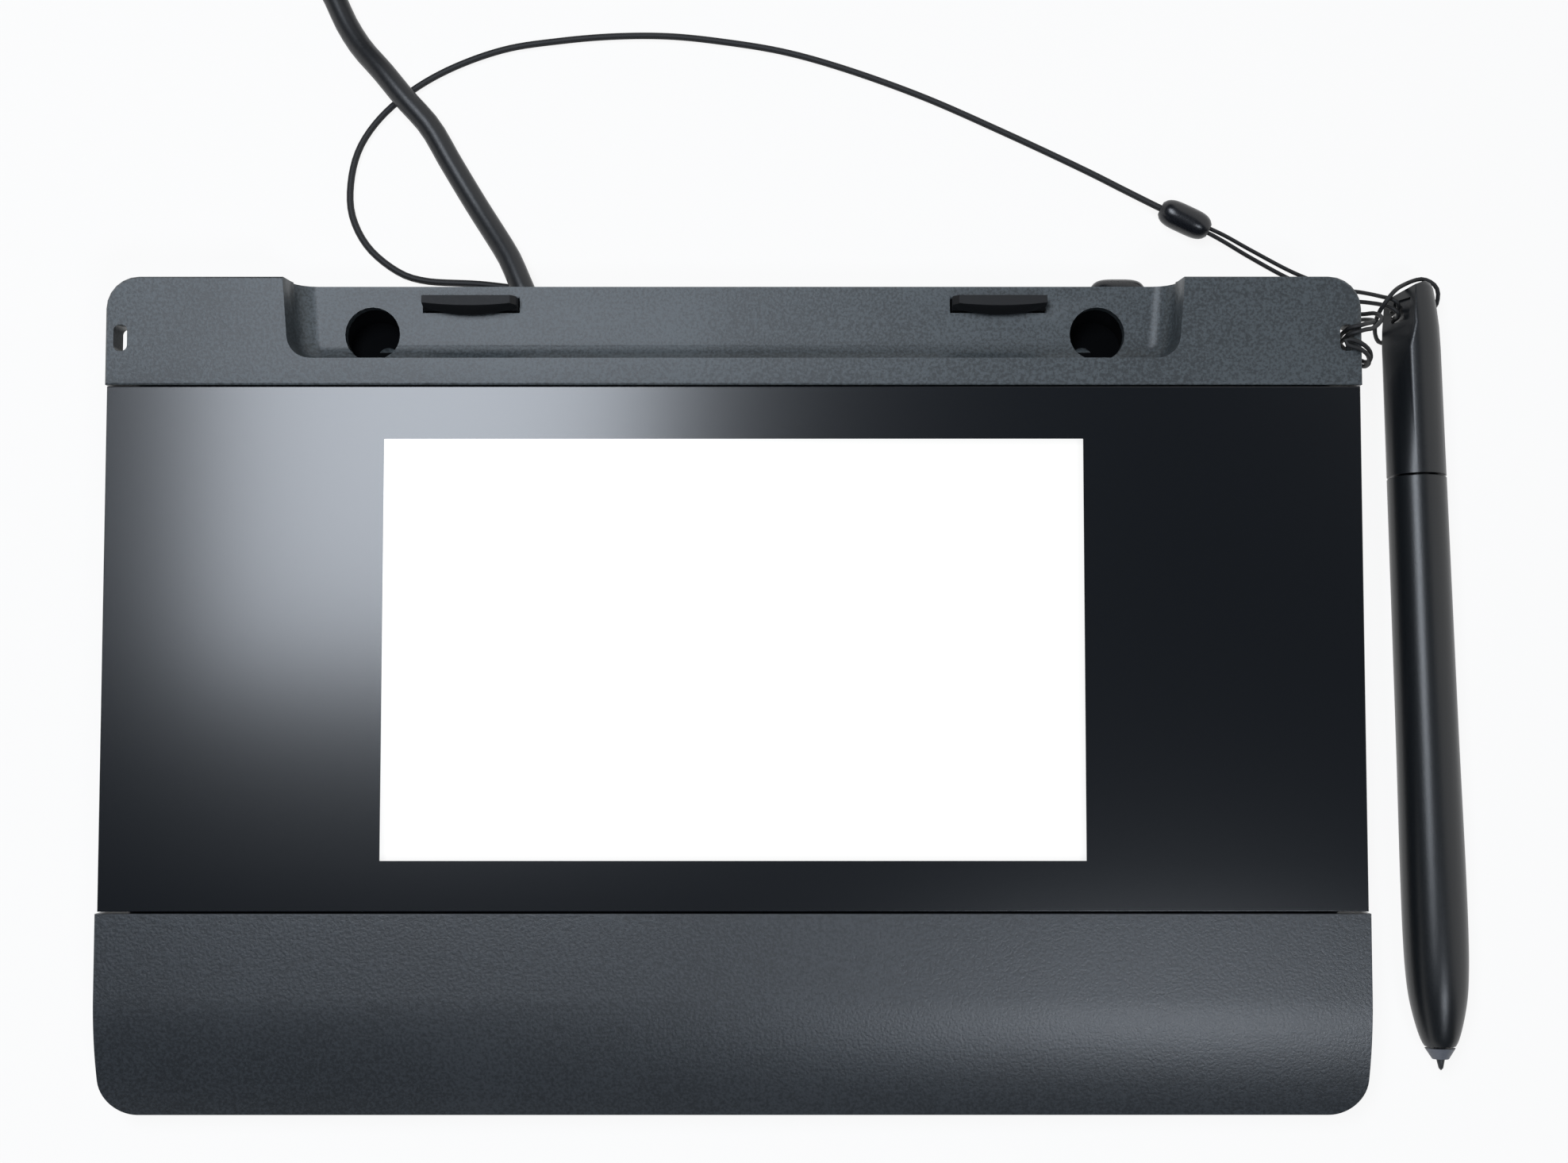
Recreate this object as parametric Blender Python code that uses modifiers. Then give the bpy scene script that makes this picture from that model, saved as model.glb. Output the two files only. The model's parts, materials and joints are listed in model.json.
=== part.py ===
"""A desk signature pad with its pen, its tether and its USB lead, each piece a separate named object.

The pad's sloping pieces are drawn in the deck frame: X to the right from the middle, Y up the slope from
the deck's front line, Z square to the top surface, which is at zero. The bottom tub, the board and the
cords are drawn in the stand frame: X as before, Y level from that line, Z up from the desk. The pen has
a frame of its own, with Z along its axis from the middle of its grip.
"""

import math

import bmesh
import bpy
from mathutils import Matrix, Vector

# Sizes of the screen and of the pad round it, in metres
SCREEN_WIDTH = 0.108
SCREEN_HEIGHT = 0.0648
PANEL_SIDE = 0.0433
PANEL_FRONT_BORDER = 0.0077
PANEL_BACK_BORDER = 0.0081
FRONT_HEIGHT = 0.0086
BACK_HEIGHT = 0.0175
FRONT_CORNER = 0.0055
BACK_CORNER = 0.005
PALM_DEPTH = 0.0295
SEAM = 0.0003
GAP = 0.0003
OVERRUN = 0.003
WELD = 0.000002

# Rim that overhangs the tub
RIM_DEPTH = 0.0045
OVERHANG = 0.0038
SKIN = 0.0019
EDGE_CHAMFER = 0.0003

# Palm rest, whose top rolls down past the deck's front line to a thin nose
NOSE_REACH = 0.0014
ROLL_START = 0.017
ROLL_DROP = 0.0028
NOSE_RADIUS = 0.0009
NOSE_TAPER = 0.0006
TAPER_RADIUS = 0.06
PALM_PROUD = 0.0003

# Tray along the back, with its two pen sockets and two grip slots
TRAY_FRONT_WALL = 0.0042
TRAY_FROM_SIDE = 0.0265
TRAY_NARROWING = 0.0015
TRAY_DRAFT = 0.001
TRAY_DEPTH = 0.007
TRAY_CORNER = 0.0036
TRAY_FILLET = 0.0032
TRAY_WALL = 0.0018
TRAY_FLOOR = 0.002
TRAY_SETBACK = 0.0002
SOCKET_FROM_TRAY_SIDE = 0.0134
SOCKET_FROM_BACK = 0.00785
SOCKET_FROM_TRAY_FRONT = 0.0005
SOCKET_RADIUS = 0.00435
SOCKET_LEAN = math.radians(15.0)
CUP_WALL = 0.0008
LUG_RADIUS = 0.0015
LUG_BEARING = math.radians(55.0)
LUG_TOP_BELOW = 0.0008
GRIP_FROM_TRAY_SIDE = 0.029
GRIP_SLOT_WIDTH = 0.0154
GRIP_SLOT_DEPTH = 0.0026
GRIP_SLOT_FROM_BACK = 0.0018
GRIP_POCKET = 0.0024
GRIP_BLOCK_WALL = 0.001
GRIP_THICKNESS = 0.0016
GRIP_RISE = 0.003
GRIP_BOW = 0.0012
GRIP_CHAMFER = 0.0016
TETHER_SLOT_FROM_SIDE = 0.00125
TETHER_SLOT_WIDTH = 0.0021
TETHER_SLOT_LENGTH = 0.0041
TETHER_SLOT_FROM_BACK = 0.0096
TETHER_SLOT_CORNER = 0.0009

# Bottom tub, its feet and its screws
FOOT_STAND = 0.0008
FOOT_RADIUS = 0.005
FOOT_BURIED = 0.0005
FOOT_FROM_SIDE = 0.013
FOOT_FROM_FRONT = 0.0115
FOOT_FROM_BACK = 0.0225
TUB_FLOOR = 0.0016
TUB_WALL = 0.0016
TUB_CORNER = 0.0032
TUB_BACK_AT_RIM = 0.0004
TUB_BACK_AT_FOOT = 0.0027
SCREW_SHANK = 0.0011
SCREW_HEAD = 0.0022
SCREW_HEAD_HEIGHT = 0.0011
SCREW_PAD = 0.0036
SCREW_PAD_HEIGHT = 0.0012
SCREW_REACH = 0.0052
BOSS_RADIUS = 0.003
PALM_SCREW_FROM_SIDE = 0.0273
PALM_SCREW_FROM_SEAM = 0.0165
FRAME_SCREW_FROM_SIDE = 0.0133
REAR_SCREW_FROM_SIDE = 0.0148
REAR_SCREW_FROM_BACK = 0.0091

# Screen stack under the panel, from its top down
PANEL_DROP = 0.0002
PANEL_THICKNESS = 0.0011
SCREEN_BORDER = 0.0006
LCD_SIDE = 0.00635
LCD_EDGE = 0.0055
GASKET_MARGIN = 0.001
GASKET_THICKNESS = 0.0004
LCD_THICKNESS = 0.0014
LCD_WINDOW_DROP = 0.0003
BACKLIGHT_MARGIN = 0.0009
BACKLIGHT_THICKNESS = 0.002
DIGITIZER_PROUD = 0.0012
DIGITIZER_THICKNESS = 0.0008
SHIELD_MARGIN = 0.0004
SHIELD_THICKNESS = 0.0004
FRAME_PLATE = 0.0015
FRAME_POCKET_MARGIN = 0.0012
RIB_THICKNESS = 0.0012
RIB_FROM_SEAM = 0.0065

# Main board in the tub, with what is on it
BOARD_FROM_SOCKET = 0.00225
BOARD_FROM_BACK = 0.0101
BOARD_DEPTH = 0.031
BOARD_THICKNESS = 0.0012
BOARD_STANDOFF = 0.0013
BOARD_HOLE_INSET = 0.0045
BOARD_BOSS = 0.0025
BOARD_SCREW_SHANK = 0.0008
BOARD_SCREW_HEAD = 0.0018
BOARD_SCREW_HEAD_HEIGHT = 0.0012
CHIP_HEIGHT = 0.0012
HEADER_WIDTH = 0.01
HEADER_DEPTH = 0.0045
HEADER_HEIGHT = 0.0017
HEADER_FROM_EXIT = 0.0031
HEADER_FROM_BACK = 0.0065
FLEX_THICKNESS = 0.0003
DISPLAY_FLEX_WIDTH = 0.022
DISPLAY_FLEX_X = -0.004
SENSOR_FLEX_WIDTH = 0.014
SENSOR_FLEX_X = 0.024
FLEX_BULGE = 0.0017
FLEX_FOOT = 0.003

# Pen, on the desk at the pad's right
PEN_LENGTH = 0.124
PEN_RADIUS = 0.0049
PEN_GRIP = 0.024
PEN_OFF_SIDE = 0.0115
PEN_TIP_Y = 0.0054
PEN_PITCH = math.radians(0.5)
PEN_YAW = math.radians(0.18)
PEN_BORE = 0.0034
NOSE_RING_LENGTH = 0.00165
NOSE_RING_FRONT_RADIUS = 0.00125
NOSE_RING_BACK_RADIUS = 0.0023
NIB_RADIUS = 0.00065
NIB_TIP_RADIUS = 0.00035
NIB_LENGTH = 0.026
NIB_TRAVEL = 0.0005
COIL_START = 0.0103
COIL_LENGTH = 0.0144
COIL_RADIUS = 0.0022
SENSOR_LENGTH = 0.005
PEN_BOARD_ROOM = 0.0061
PEN_BOARD_WIDTH = 0.0054
PEN_BOARD_THICKNESS = 0.001
SPIGOT_LENGTH = 0.008
SPIGOT_BORE = 0.0024
REAR_BORE_DEPTH = 0.014
FACET_FROM_AXIS = 0.0016
FACET_BEARING = math.radians(63.0)
FACET_RAKE = math.radians(9.7)
SLANT_START = 0.0008
SLANT_OFF_AXIS = 0.0004
SLANT = math.radians(22.0)
EYE_FROM_END = 0.0052
EYE_OFF_AXIS = 0.0023
EYE_WIDTH = 0.0015
EYE_LENGTH = 0.0026
EYE_RIM = 0.0006
EYE_RECESS = 0.0004
EYE_RECESS_HIGH = 0.0024
EYE_RECESS_LOW = 0.0012

# Tether of braided cord between the pad and the pen
TETHER_DIAMETER = 0.00115
LOOP_DIAMETER = 0.0007
BEAD_LENGTH = 0.0086
BEAD_RADIUS = 0.0023
BEAD_END_RADIUS = 0.0014
PAD_BEAD = (0.0621, 0.12875)
PEN_BEAD = (0.0734, 0.1412)
PEN_BEAD_TURN = math.radians(-26.0)

# USB lead, its strain relief, its coil and its plug
LEAD_DIAMETER = 0.0038
LEAD_LENGTH = 1.8
EXIT_X = -0.0321
EXIT_HEIGHT = 0.0042
EXIT_TURN = math.radians(30.0)
RELIEF_RADIUS = 0.0024
RELIEF_NOSE = 0.0021
RELIEF_OUT = 0.0016
RELIEF_IN = 0.0046
RELIEF_FLANGE = 0.003
RELIEF_FLANGE_LENGTH = 0.001
GLAND_RADIUS = 0.0042
INNER_LEAD_DIAMETER = 0.0014
COIL_CENTRE = (-0.0685, 0.2175)
COIL_OUTER = 0.029
COIL_PITCH = 0.0044
COIL_LAYERS = 4
COIL_TURNS_PER_LAYER = 2.5
COIL_POINTS_PER_TURN = 24
COIL_ENTRY = math.radians(-120.0)
PLUG_TURN = math.radians(-20.0)
PLUG_LENGTH = 0.024
PLUG_WIDTH = 0.0148
PLUG_HEIGHT = 0.0076
PLUG_CORNER = 0.0022
PLUG_PLACE = (-0.0215, 0.2277)
SHELL_WIDTH = 0.012
SHELL_HEIGHT = 0.0045
SHELL_WALL = 0.0004
SHELL_LENGTH = 0.0188
TONGUE_THICKNESS = 0.0018
TONGUE_SETBACK = 0.001

# How finely round shapes are drawn
FINE_STEPS = 24
ROUND_STEPS = 16
CORNER_STEPS = 6
ROUTE_SPACING_SHARE = 3.0

# Radius of the pen along its length, as shares of its length and of its greatest radius
FRONT_BARREL_SHARES = [
    (0.0298, 0.480), (0.0350, 0.549), (0.0460, 0.651), (0.0694, 0.800), (0.0927, 0.902),
    (0.1242, 0.966), (0.1629, 0.994), (0.2420, 1.000), (0.4008, 0.968), (0.5621, 0.949),
]
REAR_BARREL_SHARES = [
    (0.8700, 0.927), (0.9100, 0.920), (0.9403, 0.900), (0.9685, 0.837), (0.9900, 0.765), (0.9965, 0.700),
    (1.0000, 0.560),
]
SEAM_RADIUS_SHARE = 0.932
PEN_SEAM_SHARE = 0.74355

# Distance between the tub's ribs, as a share of the board's width
RIB_SPACING_SHARE = 0.3

# Places and sizes of the chips, as shares of the board's width and depth
CHIP_SHARES = [
    ("controller_chip", 0.10, 0.30, 0.14, 0.42), ("memory_chip", 0.30, 0.34, 0.10, 0.30),
    ("power_chip", -0.20, 0.30, 0.08, 0.26),
]

# Places worked out from the sizes above
PANEL_DEPTH = PANEL_FRONT_BORDER + SCREEN_HEIGHT + PANEL_BACK_BORDER
PAD_WIDTH = SCREEN_WIDTH + 2 * PANEL_SIDE
REAR_FRONT = PALM_DEPTH + SEAM + PANEL_DEPTH + SEAM
TRAY_FRONT = REAR_FRONT + TRAY_FRONT_WALL
PAD_DEPTH = TRAY_FRONT + SOCKET_FROM_TRAY_FRONT + SOCKET_RADIUS + SOCKET_FROM_BACK
DECK_TILT = math.asin((BACK_HEIGHT - FRONT_HEIGHT) / PAD_DEPTH)
TRAY_HALF = PAD_WIDTH / 2 - TRAY_FROM_SIDE
TRAY_UNDERSIDE = TRAY_DEPTH + TRAY_FLOOR
SOCKET_X = TRAY_HALF - SOCKET_FROM_TRAY_SIDE
SOCKET_Y = PAD_DEPTH - SOCKET_FROM_BACK
GRIP_SLOT_X = TRAY_HALF - GRIP_FROM_TRAY_SIDE
GRIP_SLOT_Y = PAD_DEPTH - GRIP_SLOT_FROM_BACK - GRIP_SLOT_DEPTH / 2
GRIP_BLOCK_BOTTOM = TRAY_DEPTH + GRIP_POCKET + GRIP_BLOCK_WALL
FLOOR_TOP = FOOT_STAND + TUB_FLOOR
BOARD_BOTTOM = FLOOR_TOP + BOARD_STANDOFF + GAP
BOARD_TOP = BOARD_BOTTOM + BOARD_THICKNESS
BOARD_WIDTH = 2 * (SOCKET_X - SOCKET_RADIUS - CUP_WALL - BOARD_FROM_SOCKET)
BOARD_BACK = PAD_DEPTH - BOARD_FROM_BACK
BOARD_FRONT = BOARD_BACK - BOARD_DEPTH
HEADER_X = EXIT_X + HEADER_FROM_EXIT
SCREEN_MIDDLE = PALM_DEPTH + SEAM + PANEL_FRONT_BORDER + SCREEN_HEIGHT / 2
LCD_WIDTH = SCREEN_WIDTH + 2 * LCD_SIDE
LCD_HEIGHT = SCREEN_HEIGHT + 2 * LCD_EDGE
PALM_SCREW_X = PAD_WIDTH / 2 - PALM_SCREW_FROM_SIDE
PALM_SCREW_Y = PALM_DEPTH - PALM_SCREW_FROM_SEAM
FRAME_SCREW_X = PAD_WIDTH / 2 - FRAME_SCREW_FROM_SIDE
FRAME_SCREW_Y = SCREEN_MIDDLE
REAR_SCREW_X = PAD_WIDTH / 2 - REAR_SCREW_FROM_SIDE
REAR_SCREW_Y = PAD_DEPTH - REAR_SCREW_FROM_BACK
RIB_FRONT = PALM_DEPTH + RIB_FROM_SEAM
RIB_SPACING = BOARD_WIDTH * RIB_SPACING_SHARE
FRAME_TOP = PANEL_DROP + PANEL_THICKNESS + GAP
LCD_TOP = FRAME_TOP + GASKET_THICKNESS + GAP
BACKLIGHT_TOP = LCD_TOP + LCD_THICKNESS + GAP
DIGITIZER_TOP = BACKLIGHT_TOP + BACKLIGHT_THICKNESS + GAP
SHIELD_TOP = DIGITIZER_TOP + DIGITIZER_THICKNESS + GAP
STACK_BOTTOM = SHIELD_TOP + SHIELD_THICKNESS + GAP
SCREW_SEAT = FLOOR_TOP + SCREW_PAD_HEIGHT
LEAD_RADIUS = LEAD_DIAMETER / 2
PEN_END_Y = PEN_TIP_Y + PEN_LENGTH
PEN_SEAM = PEN_LENGTH * PEN_SEAM_SHARE
NOSE_RING_END = PEN_LENGTH * FRONT_BARREL_SHARES[0][0] - GAP
NOSE_RING_START = NOSE_RING_END - NOSE_RING_LENGTH
PEN_X = PAD_WIDTH / 2 + PEN_OFF_SIDE
MIDDLE_X = (PEN_X + PEN_RADIUS - PAD_WIDTH / 2) / 2
MIDDLE_Y = (PEN_END_Y - NOSE_REACH) / 2

# Routes of the cords in the stand frame, as points chosen by hand
LEAD_ROUTE = [
    (-0.0369, 0.1344, 0.0033), (-0.0388, 0.1376, 0.0027), (-0.0427, 0.1438, 0.0020),
    (-0.0471, 0.1511, 0.0023), (-0.0504, 0.1567, 0.0031), (-0.0546, 0.1614, 0.0036),
    (-0.0584, 0.1661, 0.0034), (-0.0622, 0.1706, 0.0024), (-0.0650, 0.1751, 0.0020),
    (-0.0668, 0.1790, 0.0020), (-0.0697, 0.1839, 0.0020), (-0.0736, 0.1877, 0.0020),
]
TAIL_ROUTE = [(-0.0440, 0.2364, 0.0138), (-0.0372, 0.2335, 0.0086), (-0.0312, 0.2312, 0.0049)]
TETHER_ROUTE = [
    (0.0520, 0.1287, 0.0014), (0.0480, 0.1288, 0.0006), (0.0300, 0.1290, 0.0006),
    (0.0050, 0.1292, 0.0006), (-0.0200, 0.1292, 0.0006), (-0.0330, 0.1298, 0.0006),
    (-0.0420, 0.1308, 0.0006), (-0.0513, 0.1314, 0.0006), (-0.0552, 0.1327, 0.0006),
    (-0.0605, 0.1370, 0.0006), (-0.0633, 0.1424, 0.0006), (-0.0637, 0.1478, 0.0006),
    (-0.0625, 0.1536, 0.0006), (-0.0595, 0.1586, 0.0006), (-0.0546, 0.1633, 0.0006),
    (-0.0480, 0.1674, 0.0006), (-0.0388, 0.1709, 0.0006), (-0.0296, 0.1724, 0.0006),
    (-0.0204, 0.1732, 0.0006), (-0.0111, 0.1732, 0.0006), (-0.0019, 0.1722, 0.0006),
    (0.0074, 0.1706, 0.0006), (0.0166, 0.1680, 0.0006), (0.0304, 0.1629, 0.0006),
    (0.0442, 0.1566, 0.0006), (0.0579, 0.1499, 0.0006), (0.0640, 0.1466, 0.0008),
]
PAD_LOOP_ROUTE = [
    (0.0700, 0.1298, 0.0008), (0.0780, 0.1299, 0.00045), (0.0882, 0.1295, 0.00045),
    (0.0952, 0.1280, 0.0008), (0.0983, 0.1259, 0.0030), (0.1004, 0.1243, 0.0060),
    (0.1020, 0.1238, 0.0085), (0.1024, 0.1226, 0.0106), (0.1014, 0.1212, 0.0130),
    (0.0995, 0.1196, 0.0154), (0.0978, 0.1189, 0.0172), (0.0964, 0.1184, 0.0178),
    (0.0954, 0.1182, 0.0171), (0.0952, 0.1181, 0.0145), (0.0953, 0.1178, 0.0118),
    (0.0962, 0.1170, 0.0106), (0.0978, 0.1158, 0.0100), (0.0990, 0.1148, 0.0103),
    (0.0993, 0.1144, 0.0122), (0.0989, 0.1146, 0.0148), (0.0980, 0.1151, 0.0168),
    (0.0966, 0.1158, 0.0176), (0.0953, 0.1162, 0.0176), (0.0945, 0.1166, 0.0176),
    (0.0945, 0.1172, 0.0177), (0.0955, 0.1171, 0.0178), (0.0967, 0.1167, 0.0178),
    (0.0981, 0.1159, 0.0171), (0.0991, 0.1154, 0.0150), (0.0997, 0.1152, 0.0124),
    (0.0996, 0.1155, 0.0100), (0.0985, 0.1165, 0.0090), (0.0968, 0.1178, 0.0092),
    (0.0955, 0.1187, 0.0104), (0.0952, 0.1191, 0.0130), (0.0952, 0.1191, 0.0158),
    (0.0955, 0.1192, 0.0173), (0.0965, 0.1193, 0.0179), (0.0978, 0.1198, 0.0172),
    (0.0993, 0.1205, 0.0153), (0.1005, 0.1213, 0.0127), (0.1010, 0.1222, 0.0103),
    (0.1005, 0.1229, 0.0080), (0.0997, 0.1234, 0.0058), (0.0984, 0.1245, 0.0035),
    (0.0958, 0.1263, 0.0014), (0.0915, 0.1281, 0.00045), (0.0860, 0.1287, 0.00045),
    (0.0770, 0.1287, 0.00045), (0.0700, 0.1285, 0.0010),
]
PEN_LOOP_ROUTE = [
    (0.0800, 0.1388, 0.0014), (0.0845, 0.1366, 0.00045), (0.0916, 0.1327, 0.00045),
    (0.0967, 0.1306, 0.0006), (0.0993, 0.1294, 0.0019), (0.1011, 0.1287, 0.0034),
    (0.1027, 0.1277, 0.0055), (0.1038, 0.1268, 0.0073), (0.1050, 0.1262, 0.0082),
    (0.1058, 0.1256, 0.0083), (0.1062, 0.1250, 0.0072), (0.1062, 0.12495, 0.0045),
    (0.1063, 0.1249, 0.0024), (0.1068, 0.1248, 0.0012), (0.1085, 0.1247, 0.0009),
    (0.1105, 0.1249, 0.0011), (0.1122, 0.1253, 0.0021), (0.1134, 0.1262, 0.0035),
    (0.1136, 0.1272, 0.0042), (0.1135, 0.1284, 0.0048), (0.1129, 0.1293, 0.0052),
    (0.1118, 0.1300, 0.0054), (0.1105, 0.1302, 0.0057), (0.1091, 0.1298, 0.0060),
    (0.1073, 0.1289, 0.0068), (0.1057, 0.1278, 0.0082), (0.1044, 0.1265, 0.0092),
    (0.1035, 0.1252, 0.0085), (0.1030, 0.1240, 0.0070), (0.1030, 0.1230, 0.0055),
    (0.1034, 0.1219, 0.0037), (0.1043, 0.1210, 0.0020), (0.1052, 0.1208, 0.0011),
    (0.1060, 0.1214, 0.0008), (0.1062, 0.1225, 0.0009), (0.1062, 0.1233, 0.0013),
    (0.1062, 0.12355, 0.0027), (0.1062, 0.1236, 0.0050), (0.1062, 0.1237, 0.0072),
    (0.1058, 0.1241, 0.0081), (0.1050, 0.1248, 0.0079), (0.1040, 0.1257, 0.0065),
    (0.1022, 0.1268, 0.0040), (0.0990, 0.1280, 0.0012), (0.0962, 0.1294, 0.0005),
    (0.0910, 0.1316, 0.00045), (0.0843, 0.1354, 0.00045), (0.0798, 0.1378, 0.0014),
]


def clear_scene():
    for obj in list(bpy.data.objects):
        bpy.data.objects.remove(obj, do_unlink=True)


def make_collection(name):
    made = bpy.data.collections.new(name)
    bpy.context.scene.collection.children.link(made)
    return made


def make_material(name, colour, roughness, metallic=0.0):
    made = bpy.data.materials.new(name)
    made.use_nodes = True
    shader = made.node_tree.nodes["Principled BSDF"]
    shader.inputs["Base Color"].default_value = (*colour, 1.0)
    shader.inputs["Roughness"].default_value = roughness
    shader.inputs["Metallic"].default_value = metallic
    made.diffuse_color = (*colour, 1.0)
    return made


def add_frame(name, place, turn):
    """An empty that carries the pieces drawn in its frame."""
    empty = bpy.data.objects.new(name, None)
    empty.location = place
    empty.rotation_euler = turn
    PARTS.objects.link(empty)
    return empty


def add_part(name, mesh, frame, finish, place=(0, 0, 0), turn=(0, 0, 0)):
    obj = bpy.data.objects.new(name, mesh)
    obj.parent = frame
    obj.location = place
    obj.rotation_euler = turn
    obj.data.materials.clear()
    obj.data.materials.append(finish)
    obj.data.shade_smooth()
    obj.data.set_sharp_from_angle(angle=math.radians(30.0))
    PARTS.objects.link(obj)
    return obj


def add_helper(name, mesh, frame, place=(0, 0, 0), turn=(0, 0, 0)):
    """A solid that only cuts or joins another one."""
    obj = bpy.data.objects.new(name, mesh)
    obj.parent = frame
    obj.location = place
    obj.rotation_euler = turn
    obj.hide_render = True
    obj.display_type = "WIRE"
    CUTTERS.objects.link(obj)
    return obj


def combine(obj, other, operation):
    modifier = obj.modifiers.new(other.name, "BOOLEAN")
    modifier.solver = "EXACT"
    modifier.operation = operation
    modifier.object = other


def cut(obj, *others):
    for other in others:
        combine(obj, other, "DIFFERENCE")


def join(obj, *others):
    for other in others:
        combine(obj, other, "UNION")


def mesh_from(bm, name="shape"):
    mesh = bpy.data.meshes.new(name)
    bm.to_mesh(mesh)
    bm.free()
    return mesh


def box(low, high):
    bm = bmesh.new()
    bmesh.ops.create_cube(bm, size=1.0)
    low, high = Vector(low), Vector(high)
    bmesh.ops.scale(bm, vec=high - low, verts=bm.verts)
    bmesh.ops.translate(bm, vec=(low + high) / 2, verts=bm.verts)
    return mesh_from(bm)


def rod(radius, low, high, steps=ROUND_STEPS):
    """An upright cylinder on the Z axis."""
    bm = bmesh.new()
    bmesh.ops.create_cone(
        bm, cap_ends=True, segments=steps, radius1=radius, radius2=radius, depth=high - low
    )
    bmesh.ops.translate(bm, vec=(0, 0, (low + high) / 2), verts=bm.verts)
    return mesh_from(bm)


def rounded_outline(corners, radii, steps=CORNER_STEPS):
    """The corner points of a flat outline, with an arc of its own radius at each corner."""
    outline = []
    for i, corner in enumerate(corners):
        corner = Vector(corner)
        if not radii[i]:
            outline.append(corner)
            continue
        back = (Vector(corners[i - 1]) - corner).normalized()
        ahead = (Vector(corners[(i + 1) % len(corners)]) - corner).normalized()
        half = back.angle(ahead) / 2
        centre = corner + (back + ahead).normalized() * radii[i] / math.sin(half)
        arm = corner + back * radii[i] / math.tan(half) - centre
        sweep = (math.pi - 2 * half) * math.copysign(1, back.cross(ahead))
        for step in range(steps + 1):
            outline.append(centre + Matrix.Rotation(-sweep * step / steps, 2) @ arm)
    return outline


def rectangle(low, high):
    return [(low[0], low[1]), (high[0], low[1]), (high[0], high[1]), (low[0], high[1])]


def plate(outline, low, high, across=False):
    """A flat outline given thickness from low to high along Z, or along X where it lies in the YZ plane."""
    curve = bpy.data.curves.new("outline", "CURVE")
    curve.dimensions = "2D"
    curve.fill_mode = "BOTH"
    curve.extrude = (high - low) / 2
    spline = curve.splines.new("POLY")
    spline.points.add(len(outline) - 1)
    for point, place in zip(spline.points, outline):
        point.co = (place[0], place[1], 0, 1)
    spline.use_cyclic_u = True
    bm = mesh_of_curve(curve)
    bmesh.ops.translate(bm, vec=(0, 0, (low + high) / 2), verts=bm.verts)
    if across:
        turn = Matrix(((0, 0, 1), (1, 0, 0), (0, 1, 0)))
        bmesh.ops.transform(bm, matrix=turn.to_4x4(), verts=bm.verts)
    return mesh_from(bm)


def mesh_of_curve(curve):
    """The welded bmesh of a curve, which is then removed."""
    guide = bpy.data.objects.new("guide", curve)
    bpy.context.scene.collection.objects.link(guide)
    bpy.context.view_layer.update()
    graph = bpy.context.evaluated_depsgraph_get()
    mesh = bpy.data.meshes.new_from_object(guide.evaluated_get(graph))
    bm = bmesh.new()
    bm.from_mesh(mesh)
    bmesh.ops.remove_doubles(bm, verts=bm.verts, dist=WELD)
    bpy.data.objects.remove(guide)
    bpy.data.curves.remove(curve)
    bpy.data.meshes.remove(mesh)
    return bm


def softened(mesh, height, width, steps):
    """The same solid with the edges that lie at this height rounded over."""
    bm = bmesh.new()
    bm.from_mesh(mesh)
    bmesh.ops.dissolve_limit(bm, angle_limit=math.radians(1.0), verts=bm.verts, edges=bm.edges)
    level = [e for e in bm.edges if all(abs(v.co.z - height) < WELD for v in e.verts)]
    rim = [e for e in level if len({round(f.normal.z, 3) for f in e.link_faces}) > 1]
    bmesh.ops.bevel(
        bm, geom=rim, offset=width, segments=steps, profile=0.5, affect="EDGES", clamp_overlap=True
    )
    bpy.data.meshes.remove(mesh)
    return mesh_from(bm)


def add_turned(name, profile, frame, finish, place=(0, 0, 0), turn=(0, 0, 0), steps=ROUND_STEPS):
    """Spins a profile of (radius, height) points, listed top to bottom down its outer side, about Z.

    A profile that ends off the axis is closed to its start, for a piece with a bore.
    """
    bm = bmesh.new()
    points = [bm.verts.new((radius, 0, height)) for radius, height in profile]
    ends = points[1:] if profile[-1][0] == 0 else points[1:] + points[:1]
    for start, end in zip(points, ends):
        bm.edges.new((start, end))
    obj = add_part(name, mesh_from(bm), frame, finish, place, turn)
    modifier = obj.modifiers.new("spin", "SCREW")
    modifier.angle = math.tau
    modifier.steps = steps
    modifier.render_steps = steps
    modifier.use_merge_vertices = True
    modifier.merge_threshold = WELD
    modifier.use_smooth_shade = True
    return obj


def smooth_route(points, spacing):
    """Evenly spaced points on a smooth curve through the route's points."""
    points = [Vector(p) for p in points]
    padded = [points[0] * 2 - points[1], *points, points[-1] * 2 - points[-2]]
    fine = []
    for a, b, c, d in zip(padded, padded[1:], padded[2:], padded[3:]):
        t1 = math.sqrt((b - a).length)
        t2 = t1 + math.sqrt((c - b).length)
        t3 = t2 + math.sqrt((d - c).length)
        parts = max(4, round((c - b).length / spacing * 8))
        for part in range(parts):
            t = t1 + (t2 - t1) * part / parts
            ab = a * ((t1 - t) / t1) + b * (t / t1)
            bc = b * ((t2 - t) / (t2 - t1)) + c * ((t - t1) / (t2 - t1))
            cd = c * ((t3 - t) / (t3 - t2)) + d * ((t - t2) / (t3 - t2))
            abc = ab * ((t2 - t) / t2) + bc * (t / t2)
            bcd = bc * ((t3 - t) / (t3 - t1)) + cd * ((t - t1) / (t3 - t1))
            fine.append(abc * ((t2 - t) / (t2 - t1)) + bcd * ((t - t1) / (t2 - t1)))
    fine.append(points[-1])
    total = sum((q - p).length for p, q in zip(fine, fine[1:]))
    count = max(2, round(total / spacing))
    even, passed, wanted = [fine[0]], 0.0, total / count
    for start, end in zip(fine, fine[1:]):
        length = (end - start).length
        while len(even) < count and passed + length >= wanted * len(even):
            even.append(start.lerp(end, (wanted * len(even) - passed) / length))
        passed += length
    return [*even, fine[-1]], total


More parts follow.
